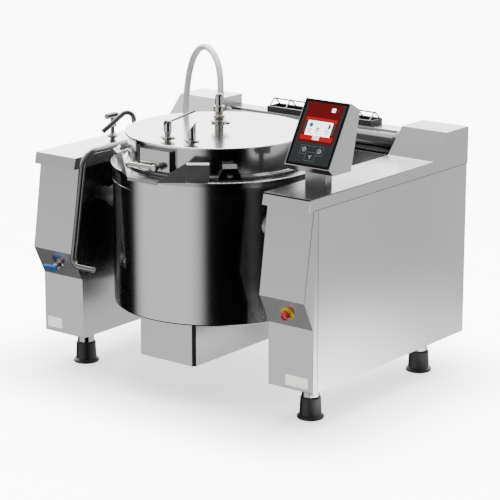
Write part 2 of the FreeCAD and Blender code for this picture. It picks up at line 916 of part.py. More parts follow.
def trunnion(shaft_end):
    """Stub axle welded to the vessel wall through a saddle pad."""
    axis = (tilt_y, tilt_z)
    wall = Part.makeCylinder(vessel_radius, ring_top, V(0, vessel_y, 0))
    pad_end = vessel_radius + trunnion_pad_step
    pad = rod((pan_radius, *axis), (pad_end, *axis), trunnion_pad_radius).cut(wall)
    f = trunnion_flange_radius
    b = trunnion_boss_radius
    s = trunnion_shaft_radius
    w = trunnion_flange_width
    boss_end = body_inner_x + sheet
    profile = [(0, pad_end), (f, pad_end), (f, pad_end + w), (b, pad_end + w), (b, boss_end), (s, boss_end),
               (s, shaft_end - 3), (s - 3, shaft_end), (0, shaft_end)]
    stub = turned(profile, (0, *axis), (1, 0, 0))
    return pad.fuse(stub).removeSplitter()


def involute_gear(teeth, first, count, x0, width):
    """Spur gear or sector with involute flanks, drawn in the YZ plane."""
    pitch_r = gear_module * teeth / 2
    base_r = pitch_r * math.cos(math.radians(pressure_angle))
    tip_r = pitch_r + gear_module * 0.95
    root_r = pitch_r - gear_module * 1.25
    half_tooth = (math.pi * gear_module / 2 - tooth_backlash) / 2 / pitch_r

    def roll(r):
        return math.sqrt((r / base_r) ** 2 - 1) if r > base_r else 0.0

    def flank_angle(r):
        t = roll(r)
        at_pitch = roll(pitch_r)
        return half_tooth - ((t - math.atan(t)) - (at_pitch - math.atan(at_pitch)))

    def at(r, angle):
        return V(x0, r * math.cos(angle), r * math.sin(angle))

    step = 2 * math.pi / teeth
    low_r = max(base_r, root_r)
    radii = [root_r, low_r, (low_r + tip_r) / 2, tip_r] if low_r > root_r else [root_r, (root_r + tip_r) / 2, tip_r]
    points = []
    for i in range(count):
        middle = first + i * step
        rising = [at(r, middle - flank_angle(max(r, low_r))) for r in radii]
        falling = [at(r, middle + flank_angle(max(r, low_r))) for r in reversed(radii)]
        points += rising + falling
    if count < teeth:
        points.append(V(x0, 0, 0))
    face = Part.Face(Part.makePolygon(points + [points[0]]))
    return face.extrude(V(width, 0, 0))


def tilt_sector():
    """Toothed sector keyed to the right trunnion, with a hub and a lightening slot."""
    step = 360.0 / sector_teeth
    last_angle = -90.0 + step * 1.5
    first = math.radians(last_angle - step * (sector_tooth_count - 1))
    teeth = involute_gear(sector_teeth, first, sector_tooth_count, gear_x, gear_width)
    teeth.translate(V(0, tilt_y, tilt_z))
    hub_r = trunnion_shaft_radius + 17
    hub = rod((gear_x - 8, tilt_y, tilt_z), (gear_x + gear_width, tilt_y, tilt_z), hub_r)
    bore = rod((gear_x - 9, tilt_y, tilt_z), (gear_x + gear_width + 1, tilt_y, tilt_z), trunnion_shaft_radius)
    web = math.radians(last_angle - step * (sector_tooth_count - 1) / 2)
    holes = []
    for offset in (-0.55, 0.0, 0.55):
        y = tilt_y + 92 * math.cos(web + offset)
        z = tilt_z + 92 * math.sin(web + offset)
        holes.append(rod((gear_x - 1, y, z), (gear_x + gear_width + 1, y, z), 19))
    return fused([teeth, hub]).cut(bore).cut(Part.makeCompound(holes))


def tilt_pinion():
    """Pinion and its shaft, in mesh below the sector."""
    teeth = involute_gear(pinion_teeth, math.pi / 2, pinion_teeth, gear_x - pinion_extra, gear_width + 2 * pinion_extra)
    teeth.translate(V(0, tilt_y, pinion_z))
    shaft = rod((bearing_x + 30, tilt_y, pinion_z), (gear_x + gear_width + 8, tilt_y, pinion_z), pinion_shaft_radius)
    return fused([teeth, shaft])


def tilt_gearmotor():
    """Worm gearbox on the upright plate with its ribbed motor behind."""
    half = gearbox_size / 2
    x0, x1, middle_x, motor_r = gearbox_span()
    corners = [(tilt_y - half, pinion_z - half), (tilt_y + half, pinion_z - half),
               (tilt_y + half, pinion_z + half), (tilt_y - half, pinion_z + half)]
    case = prism_x(corners, x0, x1, 16)
    bore = rod((x0 + 25, tilt_y, pinion_z), (x1 + 1, tilt_y, pinion_z), pinion_shaft_radius + shaft_clearance)
    rear = tilt_y + half
    end = rear + motor_length
    motor = rod((middle_x, rear, pinion_z), (middle_x, end, pinion_z), motor_r - motor_rib_height)
    ribs = []
    for i in range(motor_rib_count):
        y = rear + motor_length * (i + 1) / (motor_rib_count + 1)
        ribs.append(rod((middle_x, y - 3, pinion_z), (middle_x, y + 3, pinion_z), motor_r))
    cowl = rod((middle_x, end - 20, pinion_z), (middle_x, end, pinion_z), motor_r)
    return fused([case, motor, cowl] + ribs).cut(bore)


def lip_wall():
    """Right cheek of the pouring lip: a slanting plate with a folded top."""
    a = V(lip_front_half, vessel_y - lip_front_reach, ring_top)
    b = V(lip_back_half, vessel_y - lip_back_reach, ring_top)
    along = (b - a).normalize()
    outward = V(along.y, -along.x, 0)
    up = V(0, 0, 1)
    top_start = b - along * lip_top_length
    side = [a, b, b + up * lip_wall_height, top_start + up * lip_wall_height]
    plate = Part.Face(Part.makePolygon(side + [side[0]])).extrude(outward * -lip_sheet)
    drop = up * (lip_fold * 0.35)
    c = top_start + up * lip_wall_height
    d = b + up * lip_wall_height
    fold_section = [c, c + outward * lip_fold - drop, c + outward * lip_fold - drop - up * lip_sheet,
                    c - up * lip_sheet]
    fold = Part.Face(Part.makePolygon(fold_section + [fold_section[0]])).extrude(d - c)
    return fused([plate, fold])


def pouring_lip():
    """Floor of the lip, curved to the ring at its back, with two cheeks."""
    front_y = vessel_y - lip_front_reach
    back_y = vessel_y - lip_back_reach
    z0 = ring_top - ring_plate
    half = lip_front_half
    outline = [(-half, front_y), (half, front_y), (lip_back_half, back_y), (-lip_back_half, back_y)]
    slab = prism_z(outline, z0, ring_top)
    nose = prism_z([(-half, front_y), (half, front_y), (half, front_y + lip_sheet), (-half, front_y + lip_sheet)],
                   z0 - 10, z0)
    ring_body = Part.makeCylinder(ring_radius, ring_height * 2, V(0, vessel_y, ring_top - ring_height))
    cheek = lip_wall()
    return fused([slab.cut(ring_body), nose, cheek, mirrored(cheek)])


def ring_lug():
    """Trapezoid lug of folded sheet that stands on the ring at the right."""
    half_base = lug_base / 2
    half_top = lug_top / 2
    t = lug_sheet
    face = [V(-half_base, 0, 0), V(half_base, 0, 0), V(half_top, 0, lug_height), V(-half_top, 0, lug_height)]
    plate = Part.Face(Part.makePolygon(face + [face[0]])).extrude(V(0, t, 0))
    rise = lug_fold_rise
    strip = prism_x([(0, lug_height - t), (0, lug_height), (lug_fold, lug_height + rise),
                     (lug_fold, lug_height + rise - t)], -half_top, half_top)
    foot = box(-half_base, half_base, 0, lug_fold, 0, t)
    hole = rod((0, -1, lug_hole_height + t), (0, t + 1, lug_hole_height + t), lug_hole_radius)
    return fused([plate, strip, foot]).cut(hole)


def lug_screws_local():
    """Domed screws through the foot of one lug."""
    t = lug_sheet
    y = (t + lug_fold) / 2
    head = [(0, t), (lug_screw_radius, t), (lug_screw_radius * 0.7, t + 3), (0, t + 3.6)]
    return [turned(head, (x, y, 0)) for x in (-lug_screw_pitch / 2, lug_screw_pitch / 2)]


def on_ring(shape, angle):
    """Piece facing -Y, moved to the ring's edge and turned round the vessel."""
    moved = shape.copy()
    moved.translate(V(0, -lug_radius, ring_top))
    moved.rotate(V(0, 0, 0), V(0, 0, 1), angle)
    moved.translate(V(0, vessel_y, 0))
    return moved


def lid_drum():
    """Rolled wall of the lid with the flange that closes on the ring."""
    r = lid_radius
    t = lid_sheet
    z0 = lid_bottom
    z1 = z0 + lid_flange_thickness
    top = lid_top - lid_plate
    profile = [(lid_flange_inner, z0), (lid_flange_radius, z0), (lid_flange_radius, z1), (r, z1), (r, top),
               (r - t, top), (r - t, z1), (lid_flange_inner, z1)]
    return turned(profile, (0, vessel_y, 0), radii=[0, 0, 2, 3, 0, 0, 0, 0])


def lid_top_plate():
    """Polished top plate with a turned-down rim."""
    r = lid_radius + lid_plate_overhang
    t = lid_plate
    low = lid_top - lid_plate_rim
    profile = [(0, lid_top - t), (r - t, lid_top - t), (r - t, low), (r, low), (r, lid_top), (0, lid_top)]
    plate = turned(profile, (0, vessel_y, 0), radii=[0, 0, 0, 0, t - 0.5, 0])
    return plate


def lid_seal():
    """Ring gasket under the lid flange, with two lips."""
    z0 = ring_top + seal_gap
    z1 = lid_bottom
    middle = (seal_inner + seal_outer) / 2
    groove = (z1 - z0) * 0.4
    profile = [(seal_inner, z0), (middle - 4, z0), (middle, z0 + groove), (middle + 4, z0), (seal_outer, z0),
               (seal_outer, z1), (seal_inner, z1)]
    return turned(profile, (0, vessel_y, 0))


def lid_arm(x0, x1):
    """Curved arm from the lid's rear to the hinge eye."""
    start_y = vessel_y + lid_radius * 0.86
    low = lid_bottom + lid_flange_thickness
    outline = [
        (start_y, low + 4), (lid_flange_radius + vessel_y, low + 4), (hinge_y, hinge_z - hinge_eye_radius * 0.9),
        (hinge_y, hinge_z + hinge_eye_radius * 0.9), (lid_flange_radius + vessel_y, low + lid_arm_height),
        (start_y, lid_top - lid_plate_rim - 4),
    ]
    arm = prism_x(outline, x0, x1)
    eye = rod((x0, hinge_y, hinge_z), (x1, hinge_y, hinge_z), hinge_eye_radius)
    bore = rod((x0 - 1, hinge_y, hinge_z), (x1 + 1, hinge_y, hinge_z), hinge_pin_radius + shaft_clearance)
    drum = Part.makeCylinder(lid_radius, lid_top, V(0, vessel_y, 0))
    return fused([arm, eye]).cut(drum).cut(bore)


def lid_arms():
    """Two hinge arms joined by a torsion tube round the pin."""
    half = lid_arm_thickness / 2
    right = lid_arm(lid_arm_x - half, lid_arm_x + half)
    barrel = rod((-lid_arm_x + half, hinge_y, hinge_z), (lid_arm_x - half, hinge_y, hinge_z), hinge_eye_radius - 4)
    bore = rod((-lid_arm_x, hinge_y, hinge_z), (lid_arm_x, hinge_y, hinge_z), hinge_pin_radius + shaft_clearance)
    return fused([right, mirrored(right), barrel.cut(bore)])


def hinge_ear():
    """Right ear of the lid hinge, standing on the ring and reaching behind it."""
    x0 = lid_arm_x + lid_arm_thickness / 2 + hinge_side_gap
    x1 = x0 + hinge_ear_thickness
    front = vessel_y + lid_flange_radius + 6
    back = hinge_y + hinge_eye_radius * 0.7
    outline = [(front, ring_top), (vessel_y + ring_radius - 14, ring_top), (back, hinge_z - hinge_eye_radius),
               (hinge_y, hinge_z + hinge_eye_radius * 0.6), (front + 16, hinge_z + 4), (front, ring_top + 12)]
    plate = prism_x(outline, x0, x1)
    eye = rod((x0, hinge_y, hinge_z), (x1, hinge_y, hinge_z), hinge_eye_radius)
    foot = box(x0, x1 + 22, front, vessel_y + ring_radius - 24, ring_top, ring_top + 6)
    bore = rod((x0 - 1, hinge_y, hinge_z), (x1 + 1, hinge_y, hinge_z), hinge_pin_radius)
    return fused([plate, eye, foot]).cut(bore)


def hinge_pin():
    """One long pin through both ears and the arms, with a head at each end."""
    half = lid_arm_x + lid_arm_thickness / 2 + hinge_side_gap + hinge_ear_thickness
    r = hinge_pin_radius
    h = pin_head
    profile = [(0, -half - h), (r + 2, -half - h), (r + 4, -half - h + 2), (r + 4, -half), (r, -half), (r, half),
               (r + 4, half), (r + 4, half + h - 2), (r + 2, half + h), (0, half + h)]
    return turned(profile, (0, hinge_y, hinge_z), (1, 0, 0))


def lid_handle():
    """Bent tube that rises from the lid's left side and drops in front of the vessel."""
    x = handle_x
    z = handle_z
    inside = -math.sqrt(lid_radius ** 2 - (handle_rear_y - vessel_y) ** 2)
    points = [
        V(inside + 1, handle_rear_y, z), V(x, handle_rear_y, z), V(x, handle_front_y, z),
        V(x, handle_low_y, handle_low_z), V(handle_grip_x, handle_low_y, handle_low_z),
    ]
    tube = tube_along(points, [handle_rear_bend, handle_front_bend, handle_low_bend], handle_radius)
    drum = Part.makeCylinder(lid_radius, lid_top, V(0, vessel_y, 0))
    flange = Part.makeCylinder(lid_flange_radius, lid_bottom + lid_flange_thickness, V(0, vessel_y, 0))
    rosette = rod((inside + 1, handle_rear_y, z), (inside - handle_rosette_thickness, handle_rear_y, z),
                  handle_radius + handle_rosette)
    return fused([tube, rosette]).cut(drum).cut(flange).cut(lid_drum())


def latch_housing():
    """Box on the lid's front with the bore for the latch spindle."""
    w = latch_half_width
    face_y = vessel_y - latch_face
    outline = [(-w, face_y), (w, face_y), (w, vessel_y - lid_radius * 0.9), (-w, vessel_y - lid_radius * 0.9)]
    case = prism_z(outline, latch_bottom, latch_top, [2, 2, 0, 0])
    collar = rod((latch_pivot_x, face_y, latch_pivot_z), (latch_pivot_x, face_y - 5, latch_pivot_z), latch_collar)
    drum = Part.makeCylinder(lid_radius, lid_top, V(0, vessel_y, 0))
    bore = rod((latch_pivot_x, face_y - 6, latch_pivot_z), (latch_pivot_x, face_y + 22, latch_pivot_z),
               latch_spindle_radius + shaft_clearance)
    return fused([case, collar]).cut(drum).cut(bore)


def latch_lever():
    """Spindle with a hub and the round lever that lies across the lid's front."""
    face_y = vessel_y - latch_face
    spindle = rod((latch_pivot_x, face_y + 20, latch_pivot_z), (latch_pivot_x, latch_lever_y, latch_pivot_z),
                  latch_spindle_radius)
    hub = turned([(0, 0), (latch_hub_radius, 0), (latch_hub_radius, 14), (latch_hub_radius - 3, 18), (0, 18)],
                 (latch_pivot_x, latch_lever_y + 9, latch_pivot_z), (0, -1, 0))
    end_x = latch_pivot_x - latch_lever_length
    arm = rod((latch_pivot_x, latch_lever_y, latch_pivot_z), (end_x, latch_lever_y, latch_pivot_z),
              latch_lever_radius)
    tip = Part.makeSphere(latch_lever_radius, V(end_x, latch_lever_y, latch_pivot_z))
    return fused([spindle, hub, arm, tip])


def inlet_base():
    """Welded neck of the steam inlet in the middle of the lid."""
    r = inlet_tube_radius
    z1 = inlet_clamp_z
    profile = [(0, lid_top), (r + 3, lid_top), (r, lid_top + 4), (r, z1 - 5), (r + 7, z1 - 2), (r + 7, z1), (0, z1)]
    return turned(profile, (inlet_x, vessel_y, 0))


def inlet_clamp():
    """Clamp ring with its wing bolt round the two ferrules of the inlet."""
    r = inlet_tube_radius + 7
    z = inlet_clamp_z
    h = clamp_height / 2
    profile = [(r, z - h + 3), (r + 3, z - h), (r + 8, z - h), (r + 8, z + h), (r + 3, z + h), (r, z + h - 3)]
    ring = turned(profile, (inlet_x, vessel_y, 0))
    ears = box(inlet_x + r + 5, inlet_x + r + 20, vessel_y - 8, vessel_y + 8, z - h + 2, z + h - 2)
    bolt = rod((inlet_x + r + 14, vessel_y - 17, z), (inlet_x + r + 14, vessel_y + 17, z), 3.5)
    return fused([ring, ears, bolt])


def inlet_head():
    """Upper part of the steam inlet: bulb, sleeve and dome, with the hose's elbow behind."""
    z = inlet_clamp_z
    r = inlet_tube_radius
    d = inlet_dome_radius
    w = inlet_sleeve_radius
    low = inlet_sleeve_bottom
    high = inlet_sleeve_top
    profile = [
        (0, z), (r + 5, z), (r + 5, z + 2), (r, z + 7), (r - 1, z + 12), (w + 3, z + 22), (w + 3, z + 27),
        (w - 4, z + 34), (w - 4, low - 6), (w, low), (w, high - 4), (w - 4, high), (d, high + 1), (d, high + 4),
        (d, inlet_top - d), (0, inlet_top - d),
    ]
    stem = turned(profile, (inlet_x, vessel_y, 0), radii=[0, 0, 0, 3, 3, 3, 3, 3, 2, 2, 2, 1, 0, 0, 0, 0])
    dome = Part.makeSphere(d, V(inlet_x, vessel_y, inlet_top - d))
    hose_x, hose_y, hose_z = hose_route[0]
    path = [V(inlet_x, vessel_y, elbow_z), V(hose_x, hose_y, elbow_z), V(hose_x, hose_y, hose_z)]
    elbow = tube_along(path, [elbow_bend], elbow_radius)
    collar = rod((hose_x, hose_y, hose_z - elbow_collar_height), (hose_x, hose_y, hose_z), hose_radius)
    return fused([stem, dome, elbow, collar])


def valve_clamp(x, y):
    """Clamp ring with two wings under one of the lid valves."""
    z = lid_top + ferrule_height
    h = clamp_height / 2
    inner = vent_radius - neck_step
    profile = [(inner, z - h), (clamp_radius, z - h), (clamp_radius, z + h), (inner, z + h)]
    ring = turned(profile, (x, y, 0), radii=[0, clamp_edge, clamp_edge, 0])
    wings = []
    for side in (-1, 1):
        end = side * (clamp_radius + clamp_wing)
        near = side * (clamp_radius - clamp_edge)
        wings.append(box(x + min(near, end), x + max(near, end), y - clamp_wing_half, y + clamp_wing_half,
                         z - h + clamp_edge, z + h - clamp_edge))
    return fused([ring] + wings)


def safety_valve():
    """Turned body of the pressure relief valve with a slotted head for its lever."""
    r = vent_radius - neck_step
    z = lid_top
    neck = z + ferrule_height + clamp_height / 2
    top = safety_top
    cap = r + safety_cap_step
    pin_z = top - safety_cap_drop
    profile = [(0, z), (r, z), (r, neck), (r - 1, neck + neck_slope), (cap, neck + safety_cap_rise), (cap, pin_z),
               (r, top), (0, top)]
    body = turned(profile, (safety_x, safety_y, 0), radii=[0, 0, 0, 3, 4, 3, 0, 0])
    slot_reach = r + relief_slot_spare
    slot = box(safety_x - relief_slot_half, safety_x + relief_slot_half, safety_y - slot_reach,
               safety_y + slot_reach, top - relief_slot_depth, top + 1)
    pin = rod((safety_x - relief_pin_half, safety_y, pin_z), (safety_x + relief_pin_half, safety_y, pin_z),
              relief_pin_radius)
    return fused([body.cut(slot), pin])


def relief_lever():
    """Lever of the relief valve, hung on the pin in the slotted head."""
    z = safety_top - safety_cap_drop
    eye = rod((safety_x - relief_eye_half, safety_y, z), (safety_x + relief_eye_half, safety_y, z),
              relief_eye_radius)
    end = (safety_x, safety_y + relief_rod_length, z + relief_rise)
    arm = rod((safety_x, safety_y, z), end, relief_rod_radius)
    tip = Part.makeSphere(relief_rod_radius, V(*end))
    bore = rod((safety_x - relief_eye_radius, safety_y, z), (safety_x + relief_eye_radius, safety_y, z),
               relief_pin_radius + shaft_clearance)
    return fused([eye, arm, tip]).cut(bore)


def steam_vent():
    """Short vent pipe with a slanting cut that throws the steam to one side."""
    r = vent_radius
    neck = lid_top + ferrule_height + clamp_height / 2
    profile = [(0, lid_top), (r - neck_step, lid_top), (r - neck_step, neck), (r, neck + 5), (r, vent_top + 2),
               (0, vent_top + 2)]
    pipe = turned(profile, (vent_x, vent_y, 0))
    bore = rod((vent_x, vent_y, neck + vent_bore_rise), (vent_x, vent_y, vent_top + 4), r - vent_wall)
    cut_normal = V(-0.66, -0.42, 0.62).normalize()
    wide = vent_cut_size
    cutter = Part.makeBox(wide, wide, wide / 2, V(-wide / 2, -wide / 2, 0))
    cutter.Placement = FreeCAD.Placement(V(vent_x, vent_y, vent_top - vent_cut_drop),
                                         FreeCAD.Rotation(V(0, 0, 1), cut_normal))
    return pipe.cut(bore).cut(cutter)


def hose_spigot():
    """Hexagonal union on the ring that takes the lower end of the steam hose."""
    x = hose_spigot_x
    y = hose_spigot_y
    corners = []
    for i in range(7):
        turn = math.radians(60 * i)
        corners.append(V(x + spigot_nut_radius * math.cos(turn), y + spigot_nut_radius * math.sin(turn), ring_top))
    nut = Part.Face(Part.makePolygon(corners)).extrude(V(0, 0, spigot_nut_height))
    top = ring_top + hose_spigot_height
    foot = ring_top + spigot_nut_height
    neck = spigot_neck_radius
    shoulder = hose_radius + spigot_shoulder_step
    profile = [(0, foot), (neck, foot), (neck, ring_top + spigot_neck_height),
               (shoulder, ring_top + spigot_shoulder_height), (shoulder, top - 2), (hose_radius, top), (0, top)]
    return fused([nut, turned(profile, (x, y, 0))])


def steam_hose():
    """Soft hose from the lid's steam inlet over to the union on the ring."""
    points = [V(*point) for point in hose_route]
    radii = []
    length = points[0].distanceToPoint(points[1])
    for i in range(1, len(points) - 1):
        a = points[i - 1] - points[i]
        b = points[i + 1] - points[i]
        half_turn = (math.pi - a.getAngle(b)) / 2
        radii.append(0.45 * min(a.Length, b.Length) / math.tan(half_turn))
        length += b.Length - 2 * radii[-1] * (math.tan(half_turn) - half_turn)
    hose = tube_along(points, radii, hose_radius)
    print("hose runs", [round((b - a).Length) for a, b in zip(points, points[1:])])
    print("hose radii", [round(r) for r in radii], "length", round(length, 1))
    print("hose volume over section times length", round(hose.Volume / (math.pi * hose_radius ** 2 * length), 4))
    return hose


def tap_body():
    """Stem of the tap with its knuckle and head, the spout's collar and a blind cover."""
    z = worktop_height
    k = tap_knuckle_radius
    foot = tap_foot_radius
    neck = tap_neck_radius
    low = z + tap_knuckle_rise
    stem = [(0, z), (foot, z), (foot, z + 4), (neck, z + 8), (neck, z + 11), (k, low), (k, low + 5),
            (tap_throat_radius, low + 16), (7.5, tap_hub_z - 8), (0, tap_hub_z - 8)]
    body = turned(stem, (tap_x, tap_y, 0), radii=[0, 0, 2, 2, 2, 4, 4, 4, 0, 0])
    half = tap_head_half
    head = rod((tap_x, tap_y - half, tap_hub_z), (tap_x, tap_y + half, tap_hub_z), tap_hub_radius + 1)
    bore = rod((tap_x, tap_y - half - 1, tap_hub_z), (tap_x, tap_y + half + 1, tap_hub_z),
               tap_spindle_radius + shaft_clearance)
    wide = spout_foot_radius
    collar = [(spout_radius + shaft_clearance, z), (wide, z), (wide, z + spout_foot_height), (14, z + 9),
              (13, z + spout_collar_height), (spout_radius + shaft_clearance, z + spout_collar_height)]
    dome = [(0, z), (wide, z), (wide, z + 5), (14, z + 13), (0, z + cover_height)]
    return [
        fused([body, head.cut(bore)]),
        turned(collar, (spout_x, spout_y, 0), radii=[0, 0, 0, 3, 2, 0]),
        turned(dome, (spout_x - cover_side, spout_y - cover_forward, 0), radii=[0, 0, 2, 5, 0]),
    ]


def tap_lever():
    """Spindle of the tap with a front knob and the hanging lever behind."""
    y0 = tap_y - tap_hub_front
    y1 = tap_y + tap_hub_rear
    r = tap_hub_radius
    length = tap_knob_length
    spindle = rod((tap_x, y0 + 5, tap_hub_z), (tap_x, y1 - 5, tap_hub_z), tap_spindle_radius)
    knob = turned([(0, 0), (r - 2, 0), (r, 2), (r, length), (r - 4, length + 1.5), (0, length + 1.5)],
                  (tap_x, y0, tap_hub_z), (0, 1, 0))
    hub = rod((tap_x, y1 - tap_hub_length, tap_hub_z), (tap_x, y1, tap_hub_z), r)
    low = tap_hub_z - tap_lever_length
    y = y1 - tap_lever_inset
    half = tap_lever_half
    tip = tap_lever_tip
    blade = [V(tap_x - half, y, tap_hub_z), V(tap_x + half, y, tap_hub_z), V(tap_x + tip, y, low),
             V(tap_x - tip, y, low)]
    lever = Part.Face(rounded_wire(blade, [0, 0, 2, 2])).extrude(V(0, tap_lever_sheet, 0))
    return fused([spindle, knob, hub, lever])


def tap_spout():
    """Swan-neck spout that swivels in its collar."""
    turn = math.radians(spout_angle)
    out_x = spout_x + spout_reach * math.cos(turn)
    out_y = spout_y + spout_reach * math.sin(turn)
    knee_x = spout_x + spout_knee_reach * math.cos(turn)
    knee_back_y = spout_y + spout_knee_reach * math.sin(turn)
    points = [V(spout_x, spout_y, worktop_height + 0.3), V(spout_x, spout_y, spout_top),
              V(knee_x, knee_back_y, spout_top + spout_knee_rise), V(out_x, out_y, spout_outlet_z)]
    bends = [spout_riser_bend, spout_knee_bend]
    outer = tube_along(points, bends, spout_radius)
    inner = tube_along(points, bends, spout_radius - spout_wall)
    return outer.cut(inner)


def valve_body():
    """Chromed body of the water valve, standing square to the control face."""
    r = valve_body_radius
    length = valve_body_length
    flange = r + valve_flange_step
    thick = valve_flange_thickness
    profile = [(0, 0), (flange, 0), (flange, thick), (r, thick + 2), (r, length - valve_nose), (r - 4, length),
               (0, length)]
    body = turned(profile, (valve_x, 0, 0), (0, -1, 0), radii=[0, 0, 0, 0, 2, 2, 0])
    spindle = rod((valve_x, 1 - length, 0), (valve_x, -length - valve_spindle_reach, 0), valve_spindle_radius)
    return on_slope(fused([body, spindle]), undercut_y(control_z), control_z, undercut_angle)


def valve_lever():
    """Oval blue lever of the water valve."""
    w = valve_lever_width / 2
    t = valve_lever_thickness
    y1 = -valve_body_length - panel_gap
    y0 = y1 - t
    end = valve_x + w * 0.7 - valve_lever_length
    outline = [V(valve_x + w * 0.7, y1, -w), V(valve_x + w * 0.7, y1, w), V(end, y1, w * 0.8), V(end, y1, -w * 0.8)]
    paddle = Part.Face(rounded_wire(outline, [w * 0.7, w * 0.7, w * 0.7, w * 0.7])).extrude(V(0, -t, 0))
    edges = [e for e in paddle.Edges if all(abs(v.Y - y0) < 1e-6 for v in e.Vertexes)]
    soft = paddle.makeFillet(t * 0.3, edges)
    bore = rod((valve_x, y1 + 1, 0), (valve_x, -valve_body_length - valve_spindle_reach - 1, 0),
               valve_spindle_radius + shaft_clearance)
    return on_slope(soft.cut(bore), undercut_y(control_z), control_z, undercut_angle)


def stop_collar():
    """Yellow collar of the stop button."""
    r = stop_collar_radius
    bore_r = stop_stem_radius + shaft_clearance
    edge = stop_collar_edge
    top = stop_collar_height
    profile = [(bore_r, 0), (r, 0), (r, edge), (r - 9, edge + 2), (r - stop_collar_crown, top), (bore_r, top)]
    collar = turned(profile, (stop_x, 0, 0), (0, -1, 0))
    return on_slope(collar, undercut_y(control_z), control_z, undercut_angle)


def stop_stem():
    """Plunger of the stop button."""
    lift = stop_head_lift
    stem = rod((stop_x, -1, 0), (stop_x, -lift, 0), stop_stem_radius)
    spigot = rod((stop_x, -lift, 0), (stop_x, -lift - stop_spigot_length, 0), stop_stem_radius - stop_spigot_step)
    return on_slope(fused([stem, spigot]), undercut_y(control_z), control_z, undercut_angle)


def stop_head():
    """Red mushroom head that turns on the plunger to let it go."""
    r = stop_head_radius
    lift = stop_head_lift + panel_gap
    bore_r = stop_stem_radius - stop_spigot_step + shaft_clearance
    bore_end = lift + stop_head_bore
    profile = [(bore_r, lift), (r - 2, lift), (r, lift + 2), (r, lift + stop_head_edge),
               (r * 0.75, lift + stop_head_crown), (0, lift + stop_head_height), (0, bore_end), (bore_r, bore_end)]
    head = turned(profile, (stop_x, 0, 0), (0, -1, 0), radii=[0, 0, 0, 3, 5, 0, 0, 0])
    return on_slope(head, undercut_y(control_z), control_z, undercut_angle)


def panel_outline():
    """Side outline of the control panel, in (y, z)."""
    corners = [panel_front_bottom, panel_front_top, panel_rear_top, panel_rear_bottom, panel_chin]
    return [(worktop_front_y + y, worktop_height + z) for y, z in corners]


def panel_slope():
    """Length and lean of the control panel's front face."""
    dy = panel_front_top[0] - panel_front_bottom[0]
    dz = panel_front_top[1] - panel_front_bottom[1]
    return math.hypot(dy, dz), -math.degrees(math.atan2(dy, dz))


def panel_span():
    x1 = outer_x - panel_inset
    return x1 - panel_width, x1


def glass_recess(border, depth, lift=0.0):
    """Block let into the panel's front face, with an even border round it."""
    x0, x1 = panel_span()
    length, lean = panel_slope()
    block = box(x0 + border, x1 - border, lift, depth, border, length - border)
    front_y, front_z = panel_outline()[0]
    return on_slope(block, front_y, front_z, lean)


def control_housing():
    """Wedge-shaped housing of the control panel, hollow behind its window."""
    x0, x1 = panel_span()
    outline = panel_outline()
    shell = prism_x(outline, x0, x1, [2, 3, 3, 3, 3])
    hollow = prism_x(inset(outline, sheet + glass_thickness), x0 + sheet, x1 - sheet)
    window = glass_recess(window_ledge, glass_thickness * 3, -1.0)
    return shell.cut(hollow).cut(window).cut(glass_recess(glass_border, glass_thickness, -1.0))


def control_glass():
    """Glass front of the control panel, flush in its recess."""
    return glass_recess(glass_border + panel_gap / 2, glass_thickness)


def display_module():
    """Display and key board behind the glass."""
    return glass_recess(window_ledge + 4, glass_thickness + module_thickness, glass_thickness)


def control_pedestal():
    """Short square column that carries the control panel."""
    x0, x1 = panel_span()
    middle = (x0 + x1) / 2
    half = pedestal_width / 2
    y0 = pedestal_front
    y1 = y0 + pedestal_depth
    top = worktop_height + max(panel_chin[1], panel_rear_bottom[1]) + sheet
    post = prism_z([(middle - half, y0), (middle + half, y0), (middle + half, y1), (middle - half, y1)],
                   worktop_height, top, 3)
    trim = prism_x(panel_outline(), x0, x1, [2, 3, 3, 3, 3])
    return post.cut(trim)


def blank_plates():
    """Two bare plates on the lower fronts of the columns."""
    plates = []
    right_x = outer_x - right_plate_inset
    left_x = left_plate_inset - outer_x
    for x, z, w, h in ((right_x, column_base + right_plate_rise, right_plate_width, right_plate_height),
                       (left_x, column_base + left_plate_rise, left_plate_width, left_plate_height)):
        blank = box(x - w / 2, x + w / 2, lower_front_y - plate_thickness, lower_front_y, z - h / 2, z + h / 2)
        corners = [e for e in blank.Edges if abs(e.Vertexes[0].Y - e.Vertexes[1].Y) > plate_thickness / 2]
        plates.append(blank.makeFillet(5.0, corners))
    return plates


def build_frame():
    body = column_body()
    save("right_column_body", body.cut(stop_hole()))
    save("left_column_body", mirrored(body))
    panel = side_panel()
    save("right_side_panel", panel)
    save("left_side_panel", mirrored(panel))
    cap = worktop()
    save("right_worktop", cap)
    save("left_worktop", mirrored(cap))
    frame = inner_frame()
    save("inner_frames", [frame, mirrored(frame)])
    save("trunnion_bearings", [bearing(), mirrored(bearing())])
    save("tilt_gearmotor", tilt_gearmotor())
    save("rear_bridge", rear_bridge())
    save("lower_crossmember", lower_member())
    save("cross_tube", cross_tube())
    save("flue_tray", flue_tray())
    save("flue_guard", flue_guard())
    save("foot_cups", foot_cups())
    save("foot_sleeves", foot_sleeves())
    save("tap_body", tap_body())
    save("water_valve_body", valve_body())
    save("stop_collar", stop_collar())
    save("control_pedestal", control_pedestal())
    save("control_housing", control_housing())
    save("control_glass", control_glass())
    save("display_module", display_module())
    save("blank_plates", blank_plates())


